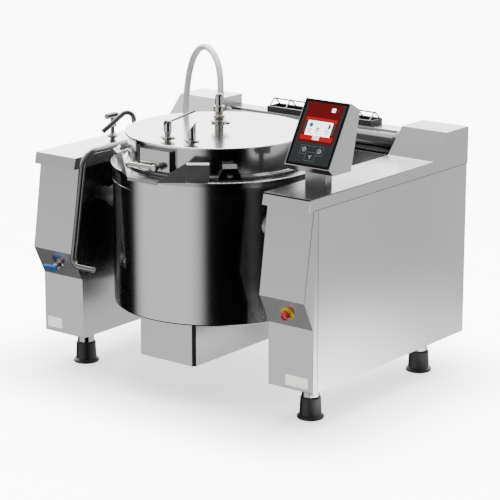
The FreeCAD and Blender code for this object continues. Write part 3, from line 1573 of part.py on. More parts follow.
def build_vessel():
    save("vessel_jacket", vessel_jacket())
    save("cooking_pan", cooking_pan())
    save("pan_insulation", pan_insulation())
    save("rim_ring", rim_ring())
    save("pouring_lip", pouring_lip())
    save("burner_chamber", burner_chamber())
    save("burner_tubes", burner_tubes())
    save("burner_rack", burner_rack())
    save("right_trunnion", trunnion(gear_x + gear_width + 6))
    save("left_trunnion", mirrored(trunnion(bearing_x + bearing_width + 10)))
    save("tilt_sector", tilt_sector())
    lug = ring_lug()
    save("ring_lugs", [on_ring(lug, lug_angle), on_ring(lug, -lug_angle)])
    screws = [on_ring(s, side * lug_angle) for s in lug_screws_local() for side in (-1, 1)]
    save("lug_screws", screws)
    ear = hinge_ear()
    save("hinge_ears", [ear, mirrored(ear)])
    save("hinge_pin", hinge_pin())
    save("hose_spigot", hose_spigot())


def build_lid():
    save("lid_drum", lid_drum())
    save("lid_top_plate", lid_top_plate())
    save("lid_seal", lid_seal())
    save("lid_arms", lid_arms())
    save("lid_handle", lid_handle())
    save("latch_housing", latch_housing())
    save("inlet_base", inlet_base())
    save("inlet_head", inlet_head())
    save("safety_valve", safety_valve())
    save("steam_vent", steam_vent())
    clamps = [inlet_clamp(), valve_clamp(safety_x, safety_y), valve_clamp(vent_x, vent_y)]
    save("fitting_clamps", clamps)
    save("steam_hose", steam_hose())


def build_moving_parts():
    save("tilt_pinion", tilt_pinion())
    save("latch_lever", latch_lever())
    save("relief_lever", relief_lever())
    save("tap_lever", tap_lever())
    save("tap_spout", tap_spout())
    save("water_valve_lever", valve_lever())
    save("stop_stem", stop_stem())
    save("stop_head", stop_head())


build_frame()
build_vessel()
build_lid()
build_moving_parts()
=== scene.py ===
# %% [markdown]
# A tilting skillet in stainless steel, dressed for its portrait.
# The construction comes ready made: every sheet, tube and gear is a piece with a real size.
# What is left to do here is the finish of each surface, the screen, the steam hose,
# the light, and a camera that stands where the photographer stood.

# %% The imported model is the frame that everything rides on
import json
import math

import bpy
import numpy as np
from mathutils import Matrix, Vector


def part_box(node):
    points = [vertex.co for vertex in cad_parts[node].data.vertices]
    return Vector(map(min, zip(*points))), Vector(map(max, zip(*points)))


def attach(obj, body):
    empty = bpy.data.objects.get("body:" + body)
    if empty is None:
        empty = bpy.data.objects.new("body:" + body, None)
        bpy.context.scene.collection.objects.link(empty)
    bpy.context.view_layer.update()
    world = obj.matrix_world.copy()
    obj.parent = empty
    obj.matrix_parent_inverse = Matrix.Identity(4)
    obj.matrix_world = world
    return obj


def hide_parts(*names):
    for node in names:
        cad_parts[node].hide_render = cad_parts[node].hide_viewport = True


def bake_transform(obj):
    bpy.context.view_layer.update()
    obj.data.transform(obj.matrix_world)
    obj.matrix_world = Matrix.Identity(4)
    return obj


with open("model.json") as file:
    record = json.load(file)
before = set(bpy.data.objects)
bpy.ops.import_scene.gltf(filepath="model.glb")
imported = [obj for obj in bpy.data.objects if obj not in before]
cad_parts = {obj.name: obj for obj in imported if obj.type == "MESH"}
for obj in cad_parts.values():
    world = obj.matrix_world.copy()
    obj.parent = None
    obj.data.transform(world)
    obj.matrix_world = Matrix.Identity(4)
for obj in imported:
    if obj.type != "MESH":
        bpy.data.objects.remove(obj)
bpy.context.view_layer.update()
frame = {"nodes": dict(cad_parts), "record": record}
nodes = frame["nodes"]

# %% [markdown]
# A long lens flattens the machine, as product photographs do. The camera looks down a
# little from the machine's front right corner. These angles come from the machine's own
# straight edges, so the columns and the worktops meet the picture's lines.

# %% The photographer's long lens
camera_place = (5.2566, -6.6704, 2.7616)
camera_turn = 37.99
camera_dip = 14.81
lens_mm = 153.02

lens = bpy.data.cameras.new("portrait_lens")
lens.lens = lens_mm
lens.sensor_width = 36.0
lens.clip_end = 200.0
camera = bpy.data.objects.new("portrait_camera", lens)
camera.location = camera_place
camera.rotation_euler = (math.radians(90.0 - camera_dip), 0.0, math.radians(camera_turn))
bpy.context.scene.collection.objects.link(camera)
bpy.context.scene.camera = camera
print("camera", camera_place, "lens", lens_mm)

# %% [markdown]
# Steel's finish is written as sums: fine scratches times a depth, plus a slow cloudiness.
# Writing such sums with plain operators keeps them readable, so one small class wraps a
# node's output and turns + - * into nodes, and another holds one material's nodes.

# %% Node outputs that can be added and multiplied
direction_output, object_output = 0, 3


class Value:
    """A node's output that can stand in a sum, as a number does."""

    def __init__(self, finish, socket):
        self.finish = finish
        self.socket = socket

    def combine(self, operation, first, second):
        return self.finish.node("ShaderNodeMath", {"operation": operation}, first, second)

    def __add__(self, other):
        return self.combine("ADD", self, other)

    __radd__ = __add__

    def __sub__(self, other):
        return self.combine("SUBTRACT", self, other)

    def __rsub__(self, other):
        return self.combine("SUBTRACT", other, self)

    def __mul__(self, other):
        return self.combine("MULTIPLY", self, other)

    __rmul__ = __mul__


class Tree:
    """A node tree that is written as sums and calls."""

    def __init__(self, tree):
        self.tree = tree

    def node(self, kind, settings=None, *values, out=0, **named):
        """Adds a node: its settings first, then the values or links of its sockets."""
        made = self.tree.nodes.new(kind)
        for key, value in (settings or {}).items():
            setattr(made, key, value)
        for place, value in enumerate(values):
            self.feed(made.inputs[place], value)
        for key, value in named.items():
            self.feed(made.inputs[key.replace("_", " ")], value)
        return Value(self, made.outputs[out])

    def feed(self, socket, value):
        if isinstance(value, Value):
            self.tree.links.new(value.socket, socket)
        else:
            socket.default_value = value

    def place(self, scale):
        """The piece's own coordinates, stretched so that a pattern runs along one way."""
        coordinates = self.node("ShaderNodeTexCoord", out=object_output)
        return self.node("ShaderNodeMapping", None, Vector=coordinates, Scale=scale)

    def axes(self, output):
        """X, Y and Z of the coordinates that one output of Texture Coordinate gives."""
        split = self.tree.nodes.new("ShaderNodeSeparateXYZ")
        self.feed(split.inputs[0], self.node("ShaderNodeTexCoord", out=output))
        return [Value(self, socket) for socket in split.outputs]

    def ramp(self, value, low, high):
        """0 below low, 1 above high, and a soft rise between them."""
        return self.node("ShaderNodeMapRange", {"interpolation_type": "SMOOTHSTEP"}, value, low, high)

    def noise(self, scale, detail=2.0, roughness=0.5):
        """Soft random pattern from 0 to 1; scale, one number or three, is how fast it changes
        along X, Y and Z."""
        scale = (scale, scale, scale) if isinstance(scale, float) else scale
        return self.node("ShaderNodeTexNoise", {"noise_dimensions": "3D"},
                         Vector=self.place(scale), Scale=1.0, Detail=detail, Roughness=roughness)

    def mix(self, factor, dark, light):
        """Colour between two colours."""
        mixed = self.tree.nodes.new("ShaderNodeMix")
        mixed.data_type = "RGBA"
        self.feed(mixed.inputs["Factor"], factor)
        self.feed(mixed.inputs[6], dark)
        self.feed(mixed.inputs[7], light)
        return Value(self, mixed.outputs[2])

    def bump(self, height, depth, strength):
        """Turns a height pattern into small dents of one depth in metres."""
        return self.node("ShaderNodeBump", None, Height=height, Distance=depth, Strength=strength)


class Finish(Tree):
    """One surface finish: a Principled shader and the nodes that feed it."""

    def __init__(self, name, **constants):
        self.material = bpy.data.materials.new(name)
        self.material.use_nodes = True
        super().__init__(self.material.node_tree)
        self.shader = self.tree.nodes["Principled BSDF"]
        self.set(**constants)

    def set(self, **sockets):
        """Gives the shader's own sockets their values or links."""
        for key, value in sockets.items():
            self.feed(self.shader.inputs[key.replace("_", " ")], value)
        return self


def opaque(colour, share=1.0):
    """Colour with full cover, darkened to a share of itself."""
    return (*(channel * share for channel in colour), 1.0)


def grey(value):
    """Neutral colour with full cover."""
    return opaque((value, value, value))


print("finish helpers ready")

# %% [markdown]
# Rolled stainless sheet is brushed along one direction. The brush leaves hair lines that
# are many times longer than wide, and they smear a reflection across the lines. Stretched
# noise makes such lines: high frequency across the grain, almost none along it. A slow
# noise over it keeps a large panel from looking printed. Two sheets also carry a painted
# reflection of something that the room leaves out: the right worktop a painted black cloth,
# dark towards its front, with a painted light skirt, a painted black line on the skirt's
# upper edge and a painted grey turret top, and the columns' inner walls a painted dark gap
# beside the vessel. Their tone follows the place on the sheet.

# %% Brushed sheet for the columns and worktops
hair_scale, stroke_scale, cloud_scale = 520.0, 5.0, 1.6
hair_depth, sheet_gloss = 0.00002, 0.26
# Tones of painted reflection: black for the worktop's front and the columns' inner walls, a black line on
# the skirt's upper edge, a light skirt and a grey turret top
painted_black_tone, painted_edge_tone, painted_skirt_tone, painted_turret_tone = 0.05, 0.012, 0.88, 0.36

# Soft rises of the painted reflections on the right worktop and the columns, each from one place to another
# in metres
top_rise, top_fade = (0.912, 0.919), (-0.50, 0.42)
skirt_rise, skirt_front = (0.9125, 0.9150), (-0.4708, -0.4700)
turret_rise, turret_side = (0.922, 0.928), (0.6975, 0.6992)
wall_rise, wall_depth = (0.30, 0.50), 0.003


def painted_cloth_reflection(finish, tone, painted_reflection):
    """Worktop's tone with painted reflection: painted dark towards the front, painted light
    on the skirt, a painted black line on its upper edge, and painted grey on the turret's top."""
    x, y, z = finish.axes(object_output)
    on_top = finish.ramp(z, *top_rise) * (1.0 - finish.ramp(y, *top_fade))
    at_front = 1.0 - finish.ramp(y, *skirt_front)
    over_skirt = finish.ramp(z, *skirt_rise)
    on_turret = finish.ramp(z, *turret_rise) * (1.0 - finish.ramp(x, *turret_side))
    tone = finish.mix(on_turret * 0.55, tone, grey(painted_turret_tone))
    tone = finish.mix((1.0 - over_skirt) * at_front, tone, grey(painted_skirt_tone))
    tone = finish.mix(on_top * painted_reflection, tone, grey(painted_black_tone))
    return finish.mix(over_skirt * at_front, tone, grey(painted_edge_tone))


def painted_gap_reflection(finish, tone, flank):
    """Column's tone: a painted dark reflection, as of the gap beside the vessel, on the inner
    wall, which stands at the distance flank from the machine's middle, above the vessel's
    underside."""
    x, _, z = finish.axes(object_output)
    outside = finish.ramp(x * x, flank * flank, (flank + wall_depth) ** 2)
    inward = (1.0 - outside) * finish.ramp(z, *wall_rise)
    return finish.mix(inward * 0.9, tone, grey(painted_black_tone))


def brushed_steel(name, grain, shade=0.62, painted_reflection=0.0, flank=0.0):
    """Stainless sheet whose hair lines run along one axis; the fourth argument is how dark a
    worktop's front turns with painted reflection, and flank the distance of a column's inner
    wall, which gets a painted dark reflection."""
    scale = tuple(stroke_scale if axis == grain else hair_scale for axis in "xyz")
    finish = Finish(name, Metallic=1.0, Anisotropic=0.0)
    lines = finish.noise(scale, detail=3.0, roughness=0.65)
    cloud = finish.noise(cloud_scale, detail=3.0)
    dark = opaque((0.90, 0.905, 0.91), shade)
    light = opaque((1.06, 1.06, 1.055), shade)
    tone = finish.mix(lines * 0.6 + cloud * 0.4, dark, light)
    # Painted reflections: black cloth on a worktop's front, the dark gap on a column's inner wall
    if painted_reflection:
        tone = painted_cloth_reflection(finish, tone, painted_reflection)
    if flank:
        tone = painted_gap_reflection(finish, tone, flank)
    finish.set(Base_Color=tone,
               Roughness=lines * 0.07 + cloud * 0.08 + (sheet_gloss - 0.075),
               Normal=finish.bump(lines, hair_depth, 0.3))
    return finish.material


inner_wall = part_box("right_column_body")[0].x
panel_y = brushed_steel("panel_steel_y", "y")
panel_z = brushed_steel("panel_steel_z", "z", shade=0.58)
panel_x = brushed_steel("panel_steel_x", "x", shade=0.58)
# The pedestal's darker tone is painted shade
pedestal_steel = brushed_steel("pedestal_steel", "z", shade=0.34)
# The right worktop's front is darkened by a painted reflection of black cloth
worktop_right = brushed_steel("worktop_right", "y", shade=0.60, painted_reflection=0.92)
# The left worktop's lighter tone is painted light
worktop_left = brushed_steel("worktop_left", "y", shade=0.85)
# The columns' inner walls get a painted dark reflection of the gap beside the vessel
column_steel = brushed_steel("column_steel", "z", shade=0.60, flank=inner_wall)
print("brushed sheets", panel_y.name, panel_z.name, panel_x.name)

# %% [markdown]
# The vessel, its ring and the lid are polished much further: they show dark and light
# shapes of the room. The jacket keeps a trace of turning lines round it, so its noise is
# fast in height and slow round the wall. The lid's top is almost a mirror.

# %% Polished vessel and lid
ring_scale = (1.5, 1.5, 620.0)


def turned_steel(name, shade, gloss, line_depth):
    """Steel polished while it turned: faint rings one above the other."""
    finish = Finish(name, Metallic=1.0)
    rings = finish.noise(ring_scale, detail=3.0, roughness=0.6)
    cloud = finish.noise(2.5, detail=3.0)
    dark = opaque((0.93, 0.93, 0.935), shade)
    light = opaque((1.04, 1.04, 1.03), shade)
    finish.set(Base_Color=finish.mix(rings * 0.5 + cloud * 0.5, dark, light),
               Roughness=rings * 0.07 + cloud * 0.05 + (gloss - 0.06),
               Normal=finish.bump(rings, line_depth, 0.35))
    return finish.material


jacket_steel = turned_steel("jacket_steel", 0.60, 0.15, 0.000008)
# The ring's and the rim's darker tones are painted dark reflection: darker copies of the jacket's polished
# steel
ring_steel = turned_steel("ring_steel", 0.52, 0.15, 0.000006)
rim_steel = turned_steel("rim_steel", 0.38, 0.17, 0.000006)
lid_steel = turned_steel("lid_steel", 0.78, 0.19, 0.000003)
pan_steel = turned_steel("pan_steel", 0.55, 0.30, 0.00002)
print("polished steels", jacket_steel.name, ring_steel.name, lid_steel.name, pan_steel.name)

# %% [markdown]
# Cast and turned fittings are buffed by hand: no direction, a soft waviness and a warmer
# tone than the sheet. Painted and machined parts inside the columns get plainer finishes,
# but none is one flat colour.

# %% Fittings, gears and painted iron


def buffed_metal(name, tint, gloss):
    """Hand-buffed metal with a soft waviness and faint handling marks."""
    finish = Finish(name, Metallic=1.0)
    wave = finish.noise(28.0)
    marks = finish.noise(160.0, detail=4.0, roughness=0.7)
    finish.set(Base_Color=finish.mix(wave, opaque(tint, 0.82), opaque(tint)),
               Roughness=marks * 0.10 + wave * 0.05 + (gloss - 0.07),
               Normal=finish.bump(wave + marks * 0.3, 0.00012, 0.4))
    return finish.material


def plain_coat(name, tint, gloss, grain=220.0, depth=0.00006, coat=0.0, spread=0.25, glow=0.0):
    """Paint or moulded plastic with a fine skin texture and slight colour drift; a glow given to it is
    painted light.
    """
    finish = Finish(name, Coat_Weight=coat, Emission_Color=opaque(tint), Emission_Strength=glow)
    skin = finish.noise(grain, detail=3.0)
    drift = finish.noise(9.0)
    tone = finish.mix(drift * 0.7 + skin * 0.3, opaque(tint, 1.0 - spread), opaque(tint))
    finish.set(Base_Color=tone,
               Roughness=skin * 0.14 + (gloss - 0.07),
               Normal=finish.bump(skin, depth, 0.4))
    return finish.material


chrome = buffed_metal("chrome_fitting", (0.60, 0.58, 0.545), 0.12)
# Darker copies of the buffed chrome for the handle, tap, lever, guard and cross tube: their dark tone is
# painted reflection
chrome_painted_dark = buffed_metal("chrome_painted_dark", (0.30, 0.295, 0.29), 0.12)
tube_painted_black_chrome = buffed_metal("tube_painted_black_chrome", (0.11, 0.11, 0.108), 0.14)
satin_steel = buffed_metal("satin_steel", (0.36, 0.36, 0.355), 0.38)
gear_steel = buffed_metal("gear_steel", (0.42, 0.41, 0.40), 0.36)
burner_steel = buffed_metal("burner_steel", (0.42, 0.38, 0.34), 0.42)
frame_paint = plain_coat("frame_paint", (0.25, 0.27, 0.29), 0.45)
motor_paint = plain_coat("motor_paint", (0.07, 0.10, 0.16), 0.40)
guard_enamel = plain_coat("guard_enamel", (0.035, 0.034, 0.034), 0.28, coat=0.3)
print("fittings", chrome.name, gear_steel.name, burner_steel.name)

# %% [markdown]
# Plastics: black feet, the red, yellow and blue controls, the pale plates, and the milky
# silicone of the hose. The plastic of a foot is matte with a moulded grain; the stop
# button is glossy, so it gets a thin clear coat.

# %% Plastics, rubber and glass


def milky_silicone():
    """Translucent rubber: two pale greys that drift, under a thin coat."""
    finish = Finish("milky_silicone", Roughness=0.36, Coat_Weight=0.15, Coat_Roughness=0.2)
    drift = finish.noise(14.0)
    skin = finish.noise(300.0)
    finish.set(Base_Color=finish.mix(drift, opaque((0.66, 0.67, 0.675)), opaque((0.76, 0.77, 0.775))),
               Normal=finish.bump(skin, 0.00003, 0.4))
    return finish.material


def wool():
    """Mineral wool: yellow-grey fibres."""
    finish = Finish("mineral_wool", Roughness=0.95)
    fibre = finish.noise((60.0, 60.0, 420.0), detail=5.0, roughness=0.7)
    finish.set(Base_Color=finish.mix(fibre, opaque((0.42, 0.38, 0.20)), opaque((0.74, 0.70, 0.50))),
               Normal=finish.bump(fibre, 0.002, 0.7))
    return finish.material


black_plastic = plain_coat("black_plastic", (0.020, 0.020, 0.021), 0.42, grain=420.0)
red_plastic = plain_coat("red_plastic", (0.62, 0.012, 0.015), 0.22, coat=0.5, spread=0.12)
yellow_plastic = plain_coat("yellow_plastic", (0.86, 0.62, 0.02), 0.30, coat=0.3, spread=0.10)
blue_plastic = plain_coat("blue_plastic", (0.03, 0.16, 0.46), 0.28, coat=0.4, spread=0.15)
# The white plates glow: painted light, so they read as brightly lit
plate_white = plain_coat("plate_white", (0.90, 0.90, 0.86), 0.34, spread=0.05, glow=0.9)
board_plastic = plain_coat("board_plastic", (0.06, 0.09, 0.07), 0.50)
seal_rubber = plain_coat("seal_rubber", (0.55, 0.55, 0.53), 0.55)
screen_glass = plain_coat("screen_glass", (0.011, 0.0145, 0.016), 0.14, grain=60.0, depth=0.00001)
silicone = milky_silicone()
mineral_wool = wool()
print("plastics ready")

# %% [markdown]
# Each piece of the model names the slot of its material. Most pieces take the finish of
# their slot. Some pieces share a slot but not a finish, such as the sheets whose brush
# lines run another way, sheets with painted light and shade, and the darker fittings whose
# dark is painted reflection, so a second table names those one by one.

# %% Every piece gets its finish
finish_of_slot = {
    "panel_steel": panel_y, "polished_steel": ring_steel, "lid_steel": lid_steel,
    "pan_steel": pan_steel, "frame_steel": frame_paint, "burner_steel": burner_steel,
    "gear_steel": gear_steel, "motor_paint": motor_paint, "chrome_fitting": chrome,
    "black_plastic": black_plastic, "screen_glass": screen_glass, "board_plastic": board_plastic,
    "white_plate": plate_white, "red_plastic": red_plastic, "yellow_plastic": yellow_plastic,
    "blue_plastic": blue_plastic, "black_guard": guard_enamel, "silicone": silicone,
    "seal_rubber": seal_rubber, "mineral_wool": mineral_wool,
}
finish_of_node = {
    "right_column_body": panel_z, "left_column_body": panel_z, "control_pedestal": pedestal_steel,
    "burner_chamber": panel_z, "rear_bridge": panel_x, "lower_crossmember": panel_x,
    "vessel_jacket": jacket_steel, "lid_drum": ring_steel, "rim_ring": rim_steel,
    "right_worktop": worktop_right, "left_worktop": worktop_left, "pouring_lip": satin_steel,
    "flue_guard": chrome_painted_dark, "relief_lever": chrome_painted_dark, "tap_body": chrome_painted_dark,
    "tap_spout": chrome_painted_dark, "tap_lever": chrome_painted_dark, "lid_handle": chrome_painted_dark,
    "cross_tube": tube_painted_black_chrome,
}
for part in frame["record"]["subparts"]:
    name = part["node"]
    mesh = nodes[name].data
    mesh.materials.clear()
    mesh.materials.append(finish_of_node.get(name, finish_of_slot[part["material_slot"]]))

# %% [markdown]
# The control panel's picture is drawn behind glass. Each field of the picture is a thin
# tile a few tenths of a millimetre proud of the glass. A small frame of reference, with u
# across and v up the sloping face, puts each tile where it belongs. The maker's word at
# the top is left out: that place holds plain colour.

# %% The sloping face
face_run, face_rise = 0.1396, 0.2367
face_lean = math.atan2(face_run, face_rise)
along_x = np.array([1.0, 0.0, 0.0])
up_slope = np.array([0.0, math.sin(face_lean), math.cos(face_lean)])
out_of_face = np.array([0.0, -math.cos(face_lean), math.sin(face_lean)])

glass_low, glass_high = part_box("control_glass")
glass_points = np.array([v.co for v in nodes["control_glass"].data.vertices])
outwards = glass_points @ out_of_face
front_points = glass_points[outwards > outwards.max() - 1e-5]
heights = front_points @ up_slope
face_foot = front_points[np.argmin(heights)].copy()
face_foot[0] = glass_low.x
face_width = glass_high.x - glass_low.x
face_height = float(heights.max() - heights.min())
squash = face_width / face_height
print("screen face", round(face_width, 4), "by", round(face_height, 4))

# %% [markdown]
# A tile is a closed flat block on an outline of (u, v) points, which are shares of the
# face's width and height. As the face isn't square, a round outline is stretched upwards
# by width over height, so that it comes out round.

# %% Flat tiles on the face
tile_foot = 0.00005
whole_turn = 360.0


def on_face(u, v, lift):
    """Points of the sloping face: foot + u along X + v up the slope + lift outwards."""
    u, v, lift = (place[..., None] for place in np.broadcast_arrays(u, v, lift))
    return face_foot + u * face_width * along_x + v * face_height * up_slope + lift * out_of_face


def piece(name, points, faces, finish, body, smooth=False):
    """Makes a mesh object from points and faces, and lets it ride on a body."""
    mesh = bpy.data.meshes.new(name)
    mesh.from_pydata([tuple(p) for p in points], [], [tuple(f) for f in faces])
    mesh.materials.append(finish)
    mesh.polygons.foreach_set("use_smooth", np.full(len(mesh.polygons), smooth))
    made = bpy.data.objects.new(name, mesh)
    bpy.context.scene.collection.objects.link(made)
    if body:
        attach(made, body)
    return made


def tile(name, outline, lift, finish):
    """Closed tile: an outline of (u, v) points between the glass and a small lift above it."""
    outline = np.array(outline, float)
    count = len(outline)
    base = on_face(outline[:, 0], outline[:, 1], tile_foot)
    top = on_face(outline[:, 0], outline[:, 1], lift)
    around = np.arange(count)
    following = (around + 1) % count
    sides = np.stack([around, following, following + count, around + count], axis=1)
    faces = [list(range(count))[::-1], list(range(count, 2 * count))] + sides.tolist()
    return piece(name, np.vstack([base, top]), faces, finish, "frame")


def rounded_box(u0, v0, u1, v1, radius, steps=5):
    """Rectangle with quarter-circle corners; radius is a share of the face's width."""
    rise = radius * squash
    middles = [(u1 - radius, v1 - rise), (u0 + radius, v1 - rise),
               (u0 + radius, v0 + rise), (u1 - radius, v0 + rise)]
    rows = []
    for turn, (u, v) in enumerate(middles):
        angles = np.linspace(0.0, math.pi / 2, steps) + turn * math.pi / 2
        rows.append(np.stack([u + radius * np.cos(angles), v + rise * np.sin(angles)], axis=1))
    return np.vstack(rows)


def disc(u, v, radius, start=0.0, end=whole_turn, steps=28):
    """Round outline, or a slice of one; radius is a share of the face's width."""
    whole = end - start == whole_turn
    angles = np.radians(np.linspace(start, end, steps, endpoint=not whole))
    rim = np.stack([u + radius * np.cos(angles), v + radius * squash * np.sin(angles)], axis=1)
    return rim if whole else np.vstack([rim, [[u, v]]])


def line(points, width):
    """Thin stroke between two (u, v) points as a four-cornered outline."""
    (u0, v0), (u1, v1) = points
    du, dv = u1 - u0, (v1 - v0) / squash
    length = math.hypot(du, dv)
    nu, nv = -dv / length * width / 2, du / length * width / 2 * squash
    return [(u0 - nu, v0 - nv), (u1 - nu, v1 - nv), (u1 + nu, v1 + nv), (u0 + nu, v0 + nv)]


def hoop(name, u, v, radius, width, lift, finish, steps=32):
    """Flat ring: an outer and an inner circle of points, joined by four-cornered faces."""
    angles = np.linspace(0.0, 2 * math.pi, steps, endpoint=False)
    circle = np.stack([np.cos(angles), squash * np.sin(angles)], axis=1)
    outer = np.array([u, v]) + radius * circle
    inner = np.array([u, v]) + (radius - width) * circle
    layers = [on_face(rim[:, 0], rim[:, 1], height)
              for height in (tile_foot, lift) for rim in (outer, inner)]
    n = steps
    i = np.arange(n)
    j = (i + 1) % n
    faces = np.vstack([
        np.stack([i + 2 * n, j + 2 * n, j + 3 * n, i + 3 * n], axis=1),
        np.stack([i, i + n, j + n, j], axis=1),
        np.stack([i, j, j + 2 * n, i + 2 * n], axis=1),
        np.stack([i + n, i + 3 * n, j + 3 * n, j + n], axis=1)])
    return piece(name, np.vstack(layers), faces.tolist(), finish, "frame")


print("a round tile has", len(disc(0.5, 0.5, 0.1)), "corners")

# %% [markdown]
# The picture glows, so its finishes have an emission of their own colour, kept low so
# that the studio light still reads on the glass. A faint pixel grid lies under the glow.

# %% Colours of the lit picture


def lit(name, colour, glow, body=0.25, spread=0.08):
    """Screen colour: faint pixel grid under the glow."""
    finish = Finish(name, Roughness=0.3, Specular_IOR_Level=0.15)
    grid = finish.noise((900.0, 900.0, 900.0), detail=1.0)
    dark = tuple(channel * (1.0 - spread) for channel in colour)
    shade = finish.mix(grid, (*dark, 1.0), (*colour, 1.0))
    paint = tuple(channel * body for channel in colour)
    finish.set(Base_Color=(*paint, 1.0), Emission_Color=shade, Emission_Strength=glow)
    return finish.material


deep_red = lit("screen_deep_red", (0.115, 0.0012, 0.0015), 1.0)
bright_red = lit("screen_bright_red", (0.40, 0.008, 0.009), 1.0)
card_white = lit("screen_white", (0.95, 0.96, 0.97), 3.2)
card_grey = lit("screen_grey", (0.035, 0.050, 0.058), 1.0)
gauge_blue = lit("screen_blue", (0.02, 0.16, 0.34), 1.0)
text_grey = lit("screen_text", (0.35, 0.36, 0.38), 1.0)
key_grey = lit("key_outline", (0.10, 0.115, 0.118), 1.0)
key_light = lit("key_mark", (0.42, 0.45, 0.45), 1.0)
border_black = lit("border_black", (0.0015, 0.0015, 0.0015), 0.2)
cream = lit("screen_cream", (0.90, 0.92, 0.80), 1.6)
print("screen colours", deep_red.name, card_white.name, key_grey.name)

# %% [markdown]
# The picture is a dark red field with two brighter bands and a white card on it, and the
# glass has a black border. Each layer lies a few hundredths of a millimetre above the one
# under it, so that no two layers share a plane.

# %% The lit picture
border_lift, field_lift, band_lift, tab_lift = 0.00010, 0.00012, 0.00020, 0.00022
card_lift, button_lift, gauge_lift, hand_lift = 0.00030, 0.00034, 0.00036, 0.00038
picture = [
    ("field", rounded_box(0.10, 0.353, 0.893, 0.957, 0.004), field_lift, deep_red, "red_plastic"),
    ("band_top", rounded_box(0.146, 0.675, 0.846, 0.735, 0.010), band_lift, bright_red, "red_plastic"),
    ("band_low", rounded_box(0.130, 0.392, 0.862, 0.468, 0.010), band_lift, bright_red, "red_plastic"),
    ("tab_left", rounded_box(0.152, 0.500, 0.205, 0.660, 0.008), tab_lift, card_grey, "board_plastic"),
    ("tab_right", rounded_box(0.788, 0.500, 0.842, 0.660, 0.008), tab_lift, card_grey, "board_plastic"),
    ("card", rounded_box(0.213, 0.465, 0.778, 0.685, 0.008), card_lift, card_white, "white_plate"),
    ("start", rounded_box(0.412, 0.402, 0.568, 0.462, 0.008), button_lift, cream, "white_plate"),
    ("badge", rounded_box(0.655, 0.842, 0.738, 0.902, 0.010), card_lift, card_white, "white_plate"),
    ("badge_dot", disc(0.697, 0.872, 0.013), gauge_lift, deep_red, "red_plastic"),
    ("clock", disc(0.790, 0.872, 0.020), card_lift, card_grey, "board_plastic"),
]
for name, outline, lift, finish, slot in picture:
    tile("screen_%s" % name, outline, lift, finish)

rim_low, rim_high, border_across = 0.002, 0.998, 0.052
border_up = border_across * squash
border = [
    (rim_low, rim_low, rim_high, border_up), (rim_low, 1 - border_up, rim_high, rim_high),
    (rim_low, border_up, border_across, 1 - border_up),
    (1 - border_across, border_up, rim_high, 1 - border_up),
]
for number, (u0, v0, u1, v1) in enumerate(border):
    corners = [(u0, v0), (u1, v0), (u1, v1), (u0, v1)]
    tile("glass_border_%d" % number, corners, border_lift, border_black)
print("picture tiles", len(picture), "border tiles", len(border))

# %% [markdown]
# Three round gauges stand on the card. The first is a full blue dial, the second a red
# fan that points down, and the third a red half. Plain bars stand for the figures and
# words under them.

# %% The gauges on the card
gauges = [(0.300, 0.622), (0.470, 0.618), (0.686, 0.622)]
for number, (u, v) in enumerate(gauges):
    hoop("gauge_ring_%d" % number, u, v, 0.060, 0.006, gauge_lift, text_grey)
tile("gauge_level", disc(0.300, 0.620, 0.042), hand_lift, gauge_blue)
tile("gauge_heat", disc(0.470, 0.600, 0.044, 215.0, 325.0), hand_lift, bright_red)
tile("gauge_time", disc(0.690, 0.622, 0.050, -90.0, 90.0), hand_lift, bright_red)
bars = [("value", 0.050, 0.541, 0.558), ("unit", 0.028, 0.504, 0.519)]
for number, (u, v) in enumerate(gauges):
    for word, half, low, high in bars:
        bar = rounded_box(u - half, low, u + half, high, 0.003)
        tile("gauge_%s_%d" % (word, number), bar, gauge_lift, text_grey)
print("gauges", len(gauges))

# %% [markdown]
# Under the picture lie the touch keys, drawn in grey outline: a stepped line round them,
# a ring about each of the two upper ones, and a plain stroke or two as each key's mark.

# %% The touch keys
line_lift, ring_lift, mark_lift = 0.00020, 0.00024, 0.00028
line_width, mark_width = 0.007, 0.012
key_lines = [
    [(0.235, 0.310), (0.745, 0.310)], [(0.745, 0.310), (0.745, 0.180)], [(0.745, 0.180), (0.605, 0.180)],
    [(0.605, 0.180), (0.605, 0.085)], [(0.605, 0.085), (0.385, 0.085)], [(0.385, 0.085), (0.385, 0.180)],
    [(0.385, 0.180), (0.235, 0.180)], [(0.235, 0.180), (0.235, 0.310)], [(0.385, 0.180), (0.385, 0.215)],
    [(0.605, 0.180), (0.605, 0.215)], [(0.385, 0.215), (0.605, 0.215)],
]
for number, stroke in enumerate(key_lines):
    tile("key_line_%02d" % number, line(stroke, line_width), line_lift, key_grey)
keys = [(0.318, 0.250), (0.662, 0.245), (0.495, 0.148)]
for side, (u, v) in zip(("left", "right"), keys):
    hoop("key_ring_%s" % side, u, v, 0.044, 0.009, ring_lift, key_light)
marks = [
    (keys[0], (-0.024, 0.000), (0.026, 0.004)), (keys[1], (-0.010, -0.010), (0.002, -0.018)),
    (keys[1], (0.000, -0.018), (0.024, 0.018)), (keys[2], (-0.034, 0.016), (0.000, 0.000)),
    (keys[2], (0.000, 0.000), (0.030, 0.022)), (keys[2], (0.000, 0.002), (0.004, -0.032)),
]
for number, ((u, v), start, end) in enumerate(marks):
    stroke = [(u + start[0], v + start[1]), (u + end[0], v + end[1])]
    tile("key_mark_%d" % number, line(stroke, mark_width), mark_lift, key_light)
print("key lines", len(key_lines), "marks", len(marks))

# %% [markdown]
# The steam hose is one length of soft silicone. It stands up out of the fitting in the
# middle of the lid, goes over in an arch and comes down behind the lid onto its union.
# The route's points are the corners of a smooth spline, and a tube follows that line. It
# joins two bodies that a hinge parts, but is made as one piece that rides on neither.

